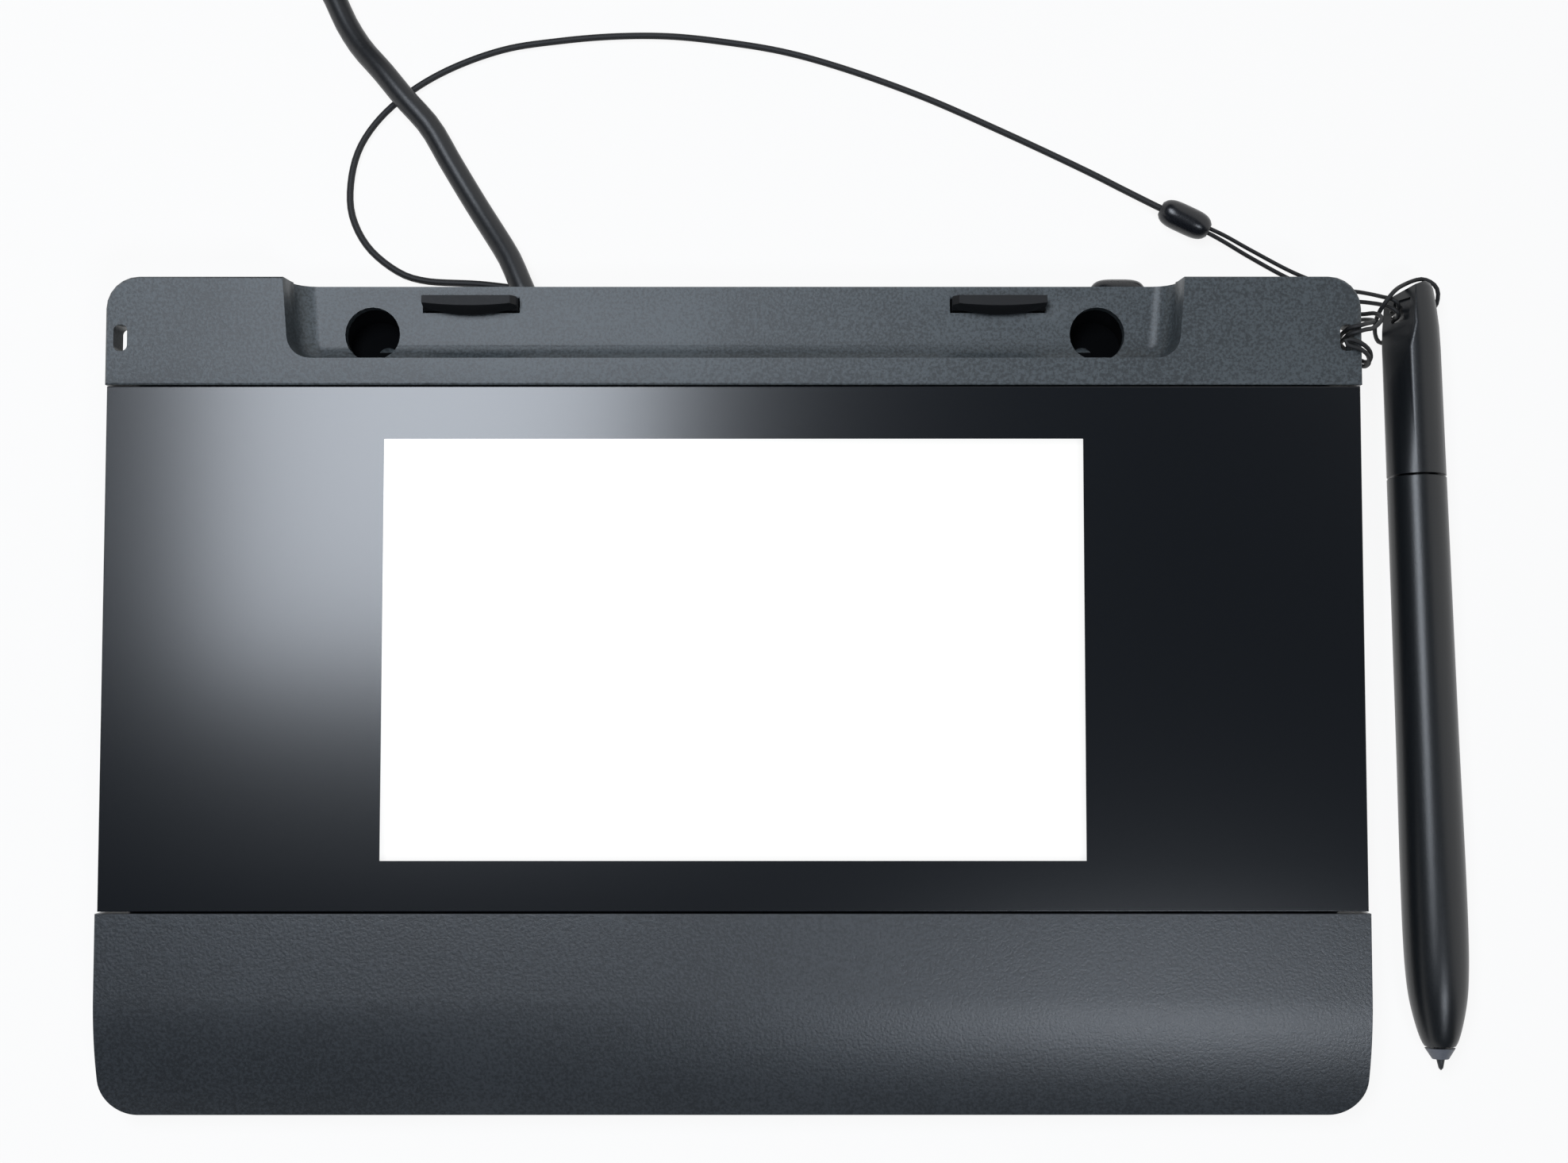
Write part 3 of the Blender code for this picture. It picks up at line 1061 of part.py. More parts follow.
def coil_points():
    """The lead's coil, from the stretch on the desk to its last turn, layer on layer without a break."""
    reversal = 0.5
    period = COIL_TURNS_PER_LAYER + reversal
    total = COIL_LAYERS * COIL_TURNS_PER_LAYER + (COIL_LAYERS - 1) * reversal
    inner = COIL_OUTER - COIL_PITCH * COIL_TURNS_PER_LAYER
    points = []
    for step in range(round(total * COIL_POINTS_PER_TURN) + 1):
        turn = step / COIL_POINTS_PER_TURN
        level = int(turn // period)
        done = turn - level * period
        inward = level % 2 == 0
        climb = max(0.0, (done - COIL_TURNS_PER_LAYER) / reversal)
        radius = COIL_OUTER if inward else inner
        sign = -1 if inward else 1
        if climb > 0:
            radius = (inner if inward else COIL_OUTER) + sign * COIL_PITCH * reversal * climb * (1 - climb)
        else:
            radius += sign * COIL_PITCH * done
        rise = (level + climb * climb * (3 - 2 * climb)) * COIL_PITCH
        angle = COIL_ENTRY - math.tau * turn
        x, y = COIL_CENTRE[0] + radius * math.cos(angle), COIL_CENTRE[1] + radius * math.sin(angle)
        points.append(Vector((x, y, LEAD_RADIUS + rise)))
    first = Vector((math.sin(COIL_ENTRY), -math.cos(COIL_ENTRY), 0))
    last_angle = COIL_ENTRY - math.tau * total
    last = Vector((math.sin(last_angle), -math.cos(last_angle), 0))
    ends = points[0] - first * LEAD_DIAMETER, points[-1] + last * LEAD_DIAMETER
    return [ends[0], *points, ends[1]], first, last


def usb_lead():
    coil, first, last = coil_points()
    print(f"least gap of the coil to itself: {1000 * least_gap(coil, LEAD_DIAMETER):.2f} mm")
    add_tube("usb_cable_coil", coil, LEAD_DIAMETER, STAND, CABLE, resolution=1)
    start = exit_point(RELIEF_OUT + GAP)
    straight = exit_point(RELIEF_OUT + GAP + LEAD_DIAMETER / 2)
    end = coil[0] - first * GAP
    route = [start, straight, *LEAD_ROUTE, end - first * LEAD_DIAMETER, end]
    points, free = smooth_route(route, LEAD_DIAMETER * ROUTE_SPACING_SHARE / 2)
    add_tube("usb_cable", points, LEAD_DIAMETER, STAND, CABLE)
    plug = Vector((*PLUG_PLACE, PLUG_HEIGHT / 2 + GAP))
    back = Vector((math.cos(PLUG_TURN), math.sin(PLUG_TURN), 0))
    tail_start = coil[-1] + last * GAP
    tail_end = plug - back * GAP
    tail = [tail_start, tail_start + last * LEAD_DIAMETER / 2, *TAIL_ROUTE]
    tail += [tail_end - back * LEAD_DIAMETER, tail_end]
    points, lead_out = smooth_route(tail, LEAD_DIAMETER)
    add_tube("usb_cable_tail", points, LEAD_DIAMETER, STAND, CABLE)
    wound = sum((q - p).length for p, q in zip(coil, coil[1:]))
    print(f"length of the lead: {free + wound + lead_out:.3f} m of {LEAD_LENGTH:.3f} m")


def usb_plug():
    place = (*PLUG_PLACE, PLUG_HEIGHT / 2 + GAP)
    turn = (0, 0, PLUG_TURN)
    half = PLUG_WIDTH / 2
    body_box = box((0, -half, -PLUG_HEIGHT / 2), (PLUG_LENGTH, half, PLUG_HEIGHT / 2))
    body = add_part("usb_plug_body", body_box, STAND, CABLE, place, turn)
    bevel = body.modifiers.new("corners", "BEVEL")
    bevel.width = PLUG_CORNER
    bevel.segments = 2
    wide, tall = SHELL_WIDTH / 2, SHELL_HEIGHT / 2
    start, end = PLUG_LENGTH + GAP, PLUG_LENGTH + GAP + SHELL_LENGTH
    shell_box = box((start, -wide, -tall), (end, wide, tall))
    shell = add_part("usb_plug_shell", shell_box, STAND, STEEL, place, turn)
    wall = SHELL_WALL
    hollow = box((start + wall, -wide + wall, -tall + wall), (end + OVERRUN, wide - wall, tall - wall))
    cut(shell, add_helper("shell_hollow", hollow, STAND, place, turn))
    low = (start + wall + GAP, -wide + wall + GAP, tall - wall - GAP - TONGUE_THICKNESS)
    high = (end - TONGUE_SETBACK, wide - wall - GAP, tall - wall - GAP)
    add_part("usb_plug_tongue", box(low, high), STAND, WHITE_PLASTIC, place, turn)


def bead(name, place, turn):
    """A barrel bead that joins the tether's cord to its thin loop."""
    steps = 6
    profile = [(0, BEAD_LENGTH / 2)]
    for step in range(steps + 1):
        share = 1 - 2 * step / steps
        bulge = (1 - share**4) * (BEAD_RADIUS - BEAD_END_RADIUS)
        profile.append((BEAD_END_RADIUS + bulge, share * BEAD_LENGTH / 2))
    profile.append((0, -BEAD_LENGTH / 2))
    add_turned(name, profile, STAND, RUBBER, (*place, BEAD_RADIUS), (0, math.radians(90.0), turn))


def bead_end(place, turn, reach, aside=0.0):
    """A point off a bead's end face, in line with the bead or to one side of its middle."""
    along = Vector((math.cos(turn), math.sin(turn), 0))
    across = Vector((-math.sin(turn), math.cos(turn), 0))
    return Vector((*place, BEAD_RADIUS)) + along * reach + across * aside


def tether():
    bead("tether_bead_pad", PAD_BEAD, 0)
    bead("tether_bead_pen", PEN_BEAD, PEN_BEAD_TURN)
    face = BEAD_LENGTH / 2 + GAP
    lead = face + TETHER_DIAMETER
    route = [bead_end(PAD_BEAD, 0, -face), bead_end(PAD_BEAD, 0, -lead), *TETHER_ROUTE]
    route += [bead_end(PEN_BEAD, PEN_BEAD_TURN, -lead), bead_end(PEN_BEAD, PEN_BEAD_TURN, -face)]
    points, length = smooth_route(route, TETHER_DIAMETER * ROUTE_SPACING_SHARE)
    add_tube("tether_cord", points, TETHER_DIAMETER, STAND, BRAID)
    print(f"length of the tether's cord: {length:.3f} m, in {len(points)} points")
    lead = face + LOOP_DIAMETER
    aside = LOOP_DIAMETER
    loops = (
        ("tether_loop_pad", PAD_BEAD, 0, PAD_LOOP_ROUTE),
        ("tether_loop_pen", PEN_BEAD, PEN_BEAD_TURN, PEN_LOOP_ROUTE),
    )
    for name, place, turn, middle in loops:
        ends = [bead_end(place, turn, reach, hand * aside) for hand in (1, -1) for reach in (face, lead)]
        route = [ends[0], ends[1], *middle, ends[3], ends[2]]
        points, length = smooth_route(route, LOOP_DIAMETER * ROUTE_SPACING_SHARE)
        add_tube(name, points, LOOP_DIAMETER, STAND, BRAID)
        gap = 1000 * least_gap(points, LOOP_DIAMETER)
        print(f"length of {name}: {length:.3f} m, in {len(points)} points, least gap {gap:.2f} mm")


def pen_part(name, profile, finish, steps=ROUND_STEPS):
    """A turned piece of the pen, whose profile gives the distance from the tip."""
    shifted = [(radius, along - PEN_GRIP) for radius, along in profile]
    return add_turned(name, shifted, PEN, finish, steps=steps)


def pen_front_barrel():
    outer = [(PEN_RADIUS * SEAM_RADIUS_SHARE, PEN_SEAM)]
    outer += [(PEN_RADIUS * r, PEN_LENGTH * along) for along, r in reversed(FRONT_BARREL_SHARES)]
    pocket = COIL_START + COIL_LENGTH + GAP
    front = NIB_RADIUS + GAP
    inner = [
        (front, outer[-1][1]), (front, COIL_START - GAP), (COIL_RADIUS + GAP, COIL_START - GAP),
        (COIL_RADIUS + GAP, pocket), (PEN_BORE, pocket), (PEN_BORE, PEN_SEAM),
    ]
    pen_part("pen_front_barrel", outer + inner, PEN_PLASTIC, FINE_STEPS)


def pen_rear_barrel():
    outer = [(PEN_RADIUS * r, PEN_LENGTH * along) for along, r in reversed(REAR_BARREL_SHARES)]
    outer[0] = (outer[0][0], PEN_LENGTH)
    seam = PEN_SEAM + GAP
    spigot = PEN_BORE - GAP
    bore_end = PEN_SEAM + REAR_BORE_DEPTH
    profile = [
        (0, PEN_LENGTH), *outer, (PEN_RADIUS * SEAM_RADIUS_SHARE, seam), (spigot, seam),
        (spigot, PEN_SEAM - SPIGOT_LENGTH), (SPIGOT_BORE, PEN_SEAM - SPIGOT_LENGTH),
        (SPIGOT_BORE, bore_end), (0, bore_end),
    ]
    barrel = pen_part("pen_rear_barrel", profile, PEN_PLASTIC, FINE_STEPS)
    end = PEN_LENGTH - PEN_GRIP
    reach = PEN_RADIUS + OVERRUN
    turn = Matrix.Rotation(-FACET_BEARING, 4, "Z") @ Matrix.Rotation(-FACET_RAKE, 4, "X")
    facet = box((-reach, -2 * reach, -3 * reach), (reach, -FACET_FROM_AXIS, reach))
    facet.transform(turn)
    cut(barrel, add_helper("pen_facet", facet, PEN, (0, 0, end)))
    slant = box((-2 * reach, -reach, 0), (reach, reach, reach))
    slant.transform(Matrix.Rotation(-SLANT, 4, "Y"))
    cut(barrel, add_helper("pen_slant", slant, PEN, (SLANT_OFF_AXIS, 0, end - SLANT_START)))
    wide, long = EYE_WIDTH / 2, EYE_LENGTH / 2
    place = (-EYE_OFF_AXIS, 0, end - EYE_FROM_END)
    cut(barrel, add_helper("pen_eye", box((-wide, -reach, -long), (wide, reach, long)), PEN, place))
    low = (-EYE_RECESS_LOW, -FACET_FROM_AXIS - reach, -EYE_FROM_END - long - EYE_RIM)
    high = (EYE_RECESS_HIGH, EYE_RECESS - FACET_FROM_AXIS, long + EYE_RIM - EYE_FROM_END)
    recess = box(low, high)
    recess.transform(turn)
    cut(barrel, add_helper("pen_eye_recess", recess, PEN, (0, 0, end)))


def pen_insides():
    ring = [
        (NOSE_RING_BACK_RADIUS, NOSE_RING_END), (NOSE_RING_FRONT_RADIUS, NOSE_RING_START),
        (NIB_RADIUS + GAP, NOSE_RING_START), (NIB_RADIUS + GAP, NOSE_RING_END),
    ]
    pen_part("pen_nose_ring", ring, NOSE_GREY, FINE_STEPS)
    nib = [
        (0, NIB_LENGTH), (NIB_RADIUS, NIB_LENGTH), (NIB_RADIUS, NOSE_RING_START),
        (NIB_TIP_RADIUS, NIB_TIP_RADIUS), (0, 0),
    ]
    pen_part("pen_nib", nib, NIB)
    coil_end = COIL_START + COIL_LENGTH
    bore = NIB_RADIUS + GAP
    coil = [(COIL_RADIUS, coil_end), (COIL_RADIUS, COIL_START), (bore, COIL_START), (bore, coil_end)]
    pen_part("pen_coil", coil, COPPER)
    sensor = NIB_LENGTH + NIB_TRAVEL + GAP
    radius = PEN_BORE - GAP
    block = [(0, sensor + SENSOR_LENGTH), (radius, sensor + SENSOR_LENGTH), (radius, sensor), (0, sensor)]
    pen_part("pen_force_sensor", block, WHITE_PLASTIC)
    start = sensor + SENSOR_LENGTH + GAP - PEN_GRIP
    end = PEN_SEAM - SPIGOT_LENGTH - PEN_BOARD_ROOM - PEN_GRIP
    low = (-PEN_BOARD_WIDTH / 2, -PEN_BOARD_THICKNESS / 2, start)
    high = (PEN_BOARD_WIDTH / 2, PEN_BOARD_THICKNESS / 2, end)
    add_part("pen_board", box(low, high), PEN, CIRCUIT_BOARD)


clear_scene()
PARTS = make_collection("signature_pad")
CUTTERS = make_collection("cutters")

HOUSING = make_material("rear_housing_plastic", (0.142, 0.153, 0.188), 0.6)
DARK_HOUSING = make_material("front_housing_plastic", (0.058, 0.066, 0.082), 0.6)
PANEL = make_material("panel_acrylic", (0.013, 0.014, 0.017), 0.2)
SOCKET = make_material("socket_plastic", (0.006, 0.006, 0.008), 0.7)
RUBBER = make_material("black_rubber", (0.020, 0.021, 0.024), 0.7)
FOAM = make_material("black_foam_tape", (0.010, 0.010, 0.010), 0.9)
SCREEN_GLASS = make_material("display_glass", (0.300, 0.310, 0.330), 0.3)
WHITE_PLASTIC = make_material("white_plastic", (0.700, 0.700, 0.680), 0.5)
CIRCUIT_BOARD = make_material("circuit_board", (0.020, 0.120, 0.050), 0.5)
STEEL = make_material("steel", (0.450, 0.450, 0.460), 0.35, 1.0)
CHIP = make_material("chip_resin", (0.012, 0.012, 0.013), 0.5)
FLEX = make_material("flex_film", (0.400, 0.180, 0.030), 0.4)
CABLE = make_material("cable_vinyl", (0.012, 0.012, 0.014), 0.45)
BRAID = make_material("braided_cord", (0.012, 0.012, 0.013), 0.8)
PEN_PLASTIC = make_material("pen_plastic", (0.050, 0.056, 0.062), 0.4)
NOSE_GREY = make_material("nose_ring_plastic", (0.250, 0.260, 0.280), 0.4)
NIB = make_material("nib_plastic", (0.030, 0.030, 0.032), 0.5)
COPPER = make_material("copper_winding", (0.600, 0.250, 0.110), 0.35, 1.0)

# The stand frame is level, with its origin on the desk under the deck's front line
STAND = add_frame("stand_frame", (-MIDDLE_X, -MIDDLE_Y, 0), (0, 0, 0))
DECK = add_frame("deck_frame", (-MIDDLE_X, -MIDDLE_Y, FRONT_HEIGHT), (DECK_TILT, 0, 0))
PEN = add_frame(
    "pen_frame",
    (PEN_X - MIDDLE_X, PEN_TIP_Y + PEN_GRIP - MIDDLE_Y, PEN_RADIUS),
    (math.radians(-90.0) + PEN_PITCH, 0, PEN_YAW),
)

palm_rest()
display_panel()
mid_frame()
screen_stack()
rear_cover()
pen_sockets()
grip_pads()
base_cover()
rubber_feet()
fasteners()
main_board()
flexes()
usb_entry()
usb_lead()
usb_plug()
tether()
pen_front_barrel()
pen_rear_barrel()
pen_insides()
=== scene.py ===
"""The looks of a desk signature pad with its tethered pen and USB lead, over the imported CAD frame."""

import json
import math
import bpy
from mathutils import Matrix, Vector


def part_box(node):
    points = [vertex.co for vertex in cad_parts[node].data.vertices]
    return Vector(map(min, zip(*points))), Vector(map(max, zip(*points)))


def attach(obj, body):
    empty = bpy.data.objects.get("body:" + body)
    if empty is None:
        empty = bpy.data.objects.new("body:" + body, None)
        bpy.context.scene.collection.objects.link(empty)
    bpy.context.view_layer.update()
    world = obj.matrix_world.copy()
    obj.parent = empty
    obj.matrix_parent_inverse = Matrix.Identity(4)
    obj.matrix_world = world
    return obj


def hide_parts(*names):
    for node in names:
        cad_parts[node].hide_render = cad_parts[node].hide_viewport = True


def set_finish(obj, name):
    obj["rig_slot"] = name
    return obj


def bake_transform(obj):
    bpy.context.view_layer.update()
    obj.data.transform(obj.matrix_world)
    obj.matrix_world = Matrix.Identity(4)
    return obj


bl_info = {
    "name": "Signature pad",
    "version": (1, 0, 0),
    "blender": (4, 5, 0),
    "location": "View3D > Sidebar > Signature pad",
    "description": "Builds a signature pad with a tethered pen, its finishes and its studio",
    "category": "Object",
}

import bmesh
import bpy
from bpy.props import FloatProperty, FloatVectorProperty, IntProperty, PointerProperty
from mathutils import Euler, Matrix, Vector

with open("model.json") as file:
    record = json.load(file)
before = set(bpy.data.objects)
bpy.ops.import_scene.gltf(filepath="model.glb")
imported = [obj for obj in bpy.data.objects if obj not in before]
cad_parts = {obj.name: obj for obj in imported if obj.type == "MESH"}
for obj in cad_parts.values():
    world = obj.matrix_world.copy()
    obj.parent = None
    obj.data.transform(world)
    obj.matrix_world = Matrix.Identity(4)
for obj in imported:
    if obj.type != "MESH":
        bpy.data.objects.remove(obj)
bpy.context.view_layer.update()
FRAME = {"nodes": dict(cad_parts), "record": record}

# Where the pad's front line and middle lie in the frame, from the CAD
MIDDLE_X = 0.0082
MIDDLE_Y = 0.0640

# Cord routes from the front line and the pad's middle, as in the CAD
LEAD_ROUTE = [
    (-0.0369, 0.1344, 0.0033), (-0.0388, 0.1376, 0.0027), (-0.0427, 0.1438, 0.0020),
    (-0.0471, 0.1511, 0.0023), (-0.0504, 0.1567, 0.0031), (-0.0546, 0.1614, 0.0036),
    (-0.0584, 0.1661, 0.0034), (-0.0622, 0.1706, 0.0024), (-0.0650, 0.1751, 0.0020),
    (-0.0668, 0.1790, 0.0020), (-0.0697, 0.1839, 0.0020), (-0.0736, 0.1877, 0.0020),
]
TAIL_ROUTE = [(-0.0440, 0.2364, 0.0138), (-0.0372, 0.2335, 0.0086), (-0.0312, 0.2312, 0.0049)]
TETHER_ROUTE = [
    (0.0520, 0.1287, 0.0014), (0.0480, 0.1288, 0.0006), (0.0300, 0.1290, 0.0006),
    (0.0050, 0.1292, 0.0006), (-0.0200, 0.1292, 0.0006), (-0.0330, 0.1298, 0.0006),
    (-0.0420, 0.1308, 0.0006), (-0.0513, 0.1314, 0.0006), (-0.0552, 0.1327, 0.0006),
    (-0.0605, 0.1370, 0.0006), (-0.0633, 0.1424, 0.0006), (-0.0637, 0.1478, 0.0006),
    (-0.0625, 0.1536, 0.0006), (-0.0595, 0.1586, 0.0006), (-0.0546, 0.1633, 0.0006),
    (-0.0480, 0.1674, 0.0006), (-0.0388, 0.1709, 0.0006), (-0.0296, 0.1724, 0.0006),
    (-0.0204, 0.1732, 0.0006), (-0.0111, 0.1732, 0.0006), (-0.0019, 0.1722, 0.0006),
    (0.0074, 0.1706, 0.0006), (0.0166, 0.1680, 0.0006), (0.0304, 0.1629, 0.0006),
    (0.0442, 0.1566, 0.0006), (0.0579, 0.1499, 0.0006), (0.0640, 0.1466, 0.0008),
]
PAD_LOOP_ROUTE = [
    (0.0700, 0.1298, 0.0008), (0.0780, 0.1299, 0.00045), (0.0882, 0.1295, 0.00045),
    (0.0952, 0.1280, 0.0008), (0.0983, 0.1259, 0.0030), (0.1004, 0.1243, 0.0060),
    (0.1020, 0.1238, 0.0085), (0.1024, 0.1226, 0.0106), (0.1014, 0.1212, 0.0130),
    (0.0995, 0.1196, 0.0154), (0.0978, 0.1189, 0.0172), (0.0964, 0.1184, 0.0178),
    (0.0954, 0.1182, 0.0171), (0.0952, 0.1181, 0.0145), (0.0953, 0.1178, 0.0118),
    (0.0962, 0.1170, 0.0106), (0.0978, 0.1158, 0.0100), (0.0990, 0.1148, 0.0103),
    (0.0993, 0.1144, 0.0122), (0.0989, 0.1146, 0.0148), (0.0980, 0.1151, 0.0168),
    (0.0966, 0.1158, 0.0176), (0.0953, 0.1162, 0.0176), (0.0945, 0.1166, 0.0176),
    (0.0945, 0.1172, 0.0177), (0.0955, 0.1171, 0.0178), (0.0967, 0.1167, 0.0178),
    (0.0981, 0.1159, 0.0171), (0.0991, 0.1154, 0.0150), (0.0997, 0.1152, 0.0124),
    (0.0996, 0.1155, 0.0100), (0.0985, 0.1165, 0.0090), (0.0968, 0.1178, 0.0092),
    (0.0955, 0.1187, 0.0104), (0.0952, 0.1191, 0.0130), (0.0952, 0.1191, 0.0158),
    (0.0955, 0.1192, 0.0173), (0.0965, 0.1193, 0.0179), (0.0978, 0.1198, 0.0172),
    (0.0993, 0.1205, 0.0153), (0.1005, 0.1213, 0.0127), (0.1010, 0.1222, 0.0103),
    (0.1005, 0.1229, 0.0080), (0.0997, 0.1234, 0.0058), (0.0984, 0.1245, 0.0035),
    (0.0958, 0.1263, 0.0014), (0.0915, 0.1281, 0.00045), (0.0860, 0.1287, 0.00045),
    (0.0770, 0.1287, 0.00045), (0.0700, 0.1285, 0.0010),
]
PEN_LOOP_ROUTE = [
    (0.0800, 0.1388, 0.0014), (0.0845, 0.1366, 0.00045), (0.0916, 0.1327, 0.00045),
    (0.0967, 0.1306, 0.0006), (0.0993, 0.1294, 0.0019), (0.1011, 0.1287, 0.0034),
    (0.1027, 0.1277, 0.0055), (0.1038, 0.1268, 0.0073), (0.1050, 0.1262, 0.0082),
    (0.1058, 0.1256, 0.0083), (0.1062, 0.1250, 0.0072), (0.1062, 0.12495, 0.0045),
    (0.1063, 0.1249, 0.0024), (0.1068, 0.1248, 0.0012), (0.1085, 0.1247, 0.0009),
    (0.1105, 0.1249, 0.0011), (0.1122, 0.1253, 0.0021), (0.1134, 0.1262, 0.0035),
    (0.1136, 0.1272, 0.0042), (0.1135, 0.1284, 0.0048), (0.1129, 0.1293, 0.0052),
    (0.1118, 0.1300, 0.0054), (0.1105, 0.1302, 0.0057), (0.1091, 0.1298, 0.0060),
    (0.1073, 0.1289, 0.0068), (0.1057, 0.1278, 0.0082), (0.1044, 0.1265, 0.0092),
    (0.1035, 0.1252, 0.0085), (0.1030, 0.1240, 0.0070), (0.1030, 0.1230, 0.0055),
    (0.1034, 0.1219, 0.0037), (0.1043, 0.1210, 0.0020), (0.1052, 0.1208, 0.0011),
    (0.1060, 0.1214, 0.0008), (0.1062, 0.1225, 0.0009), (0.1062, 0.1233, 0.0013),
    (0.1062, 0.12355, 0.0027), (0.1062, 0.1236, 0.0050), (0.1062, 0.1237, 0.0072),
    (0.1058, 0.1241, 0.0081), (0.1050, 0.1248, 0.0079), (0.1040, 0.1257, 0.0065),
    (0.1022, 0.1268, 0.0040), (0.0990, 0.1280, 0.0012), (0.0962, 0.1294, 0.0005),
    (0.0910, 0.1316, 0.00045), (0.0843, 0.1354, 0.00045), (0.0798, 0.1378, 0.0014),
]


# The pen's radius along its front barrel, as distance from the tip and radius
FRONT_BARREL_LINE = [
    (0.0037, 0.00235), (0.0043, 0.00269), (0.0057, 0.00319), (0.0086, 0.00392), (0.0115, 0.00442),
    (0.0154, 0.00473), (0.0202, 0.00487), (0.0300, 0.00490), (0.0497, 0.00474), (0.0697, 0.00465),
    (0.0860, 0.00459), (0.0922, 0.00457),
]

# A bead's mouth, with the room round its cord, its depth and the width of its edge, and how far the
# bead's ends are rounded
MOUTH_ROOM = 0.0002
MOUTH_DEPTH = 0.0008
MOUTH_EDGE = 0.0001
BEAD_ROUNDING = 0.0003

# Room between pieces that fit together, as in the CAD
GAP = 0.0003
# Points nearer than WELD are one point, and NEAR is close enough to lie on a line
WELD = 0.000002
NEAR = 0.0001

# The coil's middle, the side where the lead enters it, the part of a turn in which the lead climbs to
# its next layer, and the points in a turn
COIL_CENTRE = (-0.0685, 0.2175)
COIL_ENTRY = math.radians(-120.0)
COIL_CLIMB = 0.5
COIL_POINTS = 48

# The plug on the desk: its grip's end where the lead goes in, how it is turned, and its sizes
PLUG_PLACE = (-0.0215, 0.2277)
PLUG_TURN = math.radians(-20.0)
PLUG_LENGTH = 0.024
PLUG_WIDTH = 0.0148
PLUG_HEIGHT = 0.0076
PLUG_CORNER = 0.0022
PLUG_EDGE = 0.0006
SHELL_LENGTH = 0.0188
SHELL_WIDTH = 0.012
SHELL_HEIGHT = 0.0045
SHELL_WALL = 0.0004
SHELL_CORNER = 0.0007
# The shell's latch windows, along it from its root and to each side of its middle
WINDOW_ALONG = (0.0052, 0.0078)
WINDOW_ACROSS = (0.0013, 0.0038)
TONGUE_THICKNESS = 0.0018
TONGUE_RECESS = 0.0007
TONGUE_EDGE = 0.0003
# The contacts' places across the tongue, half their width, how far they stand out of it, and how
# far they stay from its root and from its end
CONTACTS = (-0.0035, -0.001, 0.001, 0.0035)
CONTACT_HALF = 0.0005
CONTACT_RISE = 0.0001
CONTACT_ENDS = (0.002, 0.001)

# Softboxes by name, with their place, their width and depth, and their light from each point
SOFTBOXES = (
    ("long softbox behind", (-0.1596, 0.1415, 0.6), (0.201, 0.36), 10.0),
    ("small softbox in front", (0.1864, -0.2914, 0.6), (0.172, 0.125), 13.0),
)
COOL_WHITE = (0.93, 1.0, 1.1)


def linear(hex_colour):
    """An sRGB hex colour as linear red, green and blue."""
    channels = [int(hex_colour[i:i + 2], 16) / 255 for i in (1, 3, 5)]
    return tuple(c / 12.92 if c <= 0.04045 else ((c + 0.055) / 1.055) ** 2.4 for c in channels)


def length(name, description, default):
    return FloatProperty(
        name=name, description=description, default=default, unit="LENGTH", precision=5
    )


def angle(name, description, degrees):
    return FloatProperty(
        name=name, description=description, default=math.radians(degrees), unit="ROTATION"
    )


def position(name, description, default):
    return FloatVectorProperty(
        name=name, description=description, default=default, size=len(default),
        subtype="TRANSLATION", unit="LENGTH", precision=5,
    )


def colour(name, description, hex_colour):
    return FloatVectorProperty(
        name=name, description=description, default=linear(hex_colour), subtype="COLOR", size=3,
        min=0.0, max=1.0,
    )


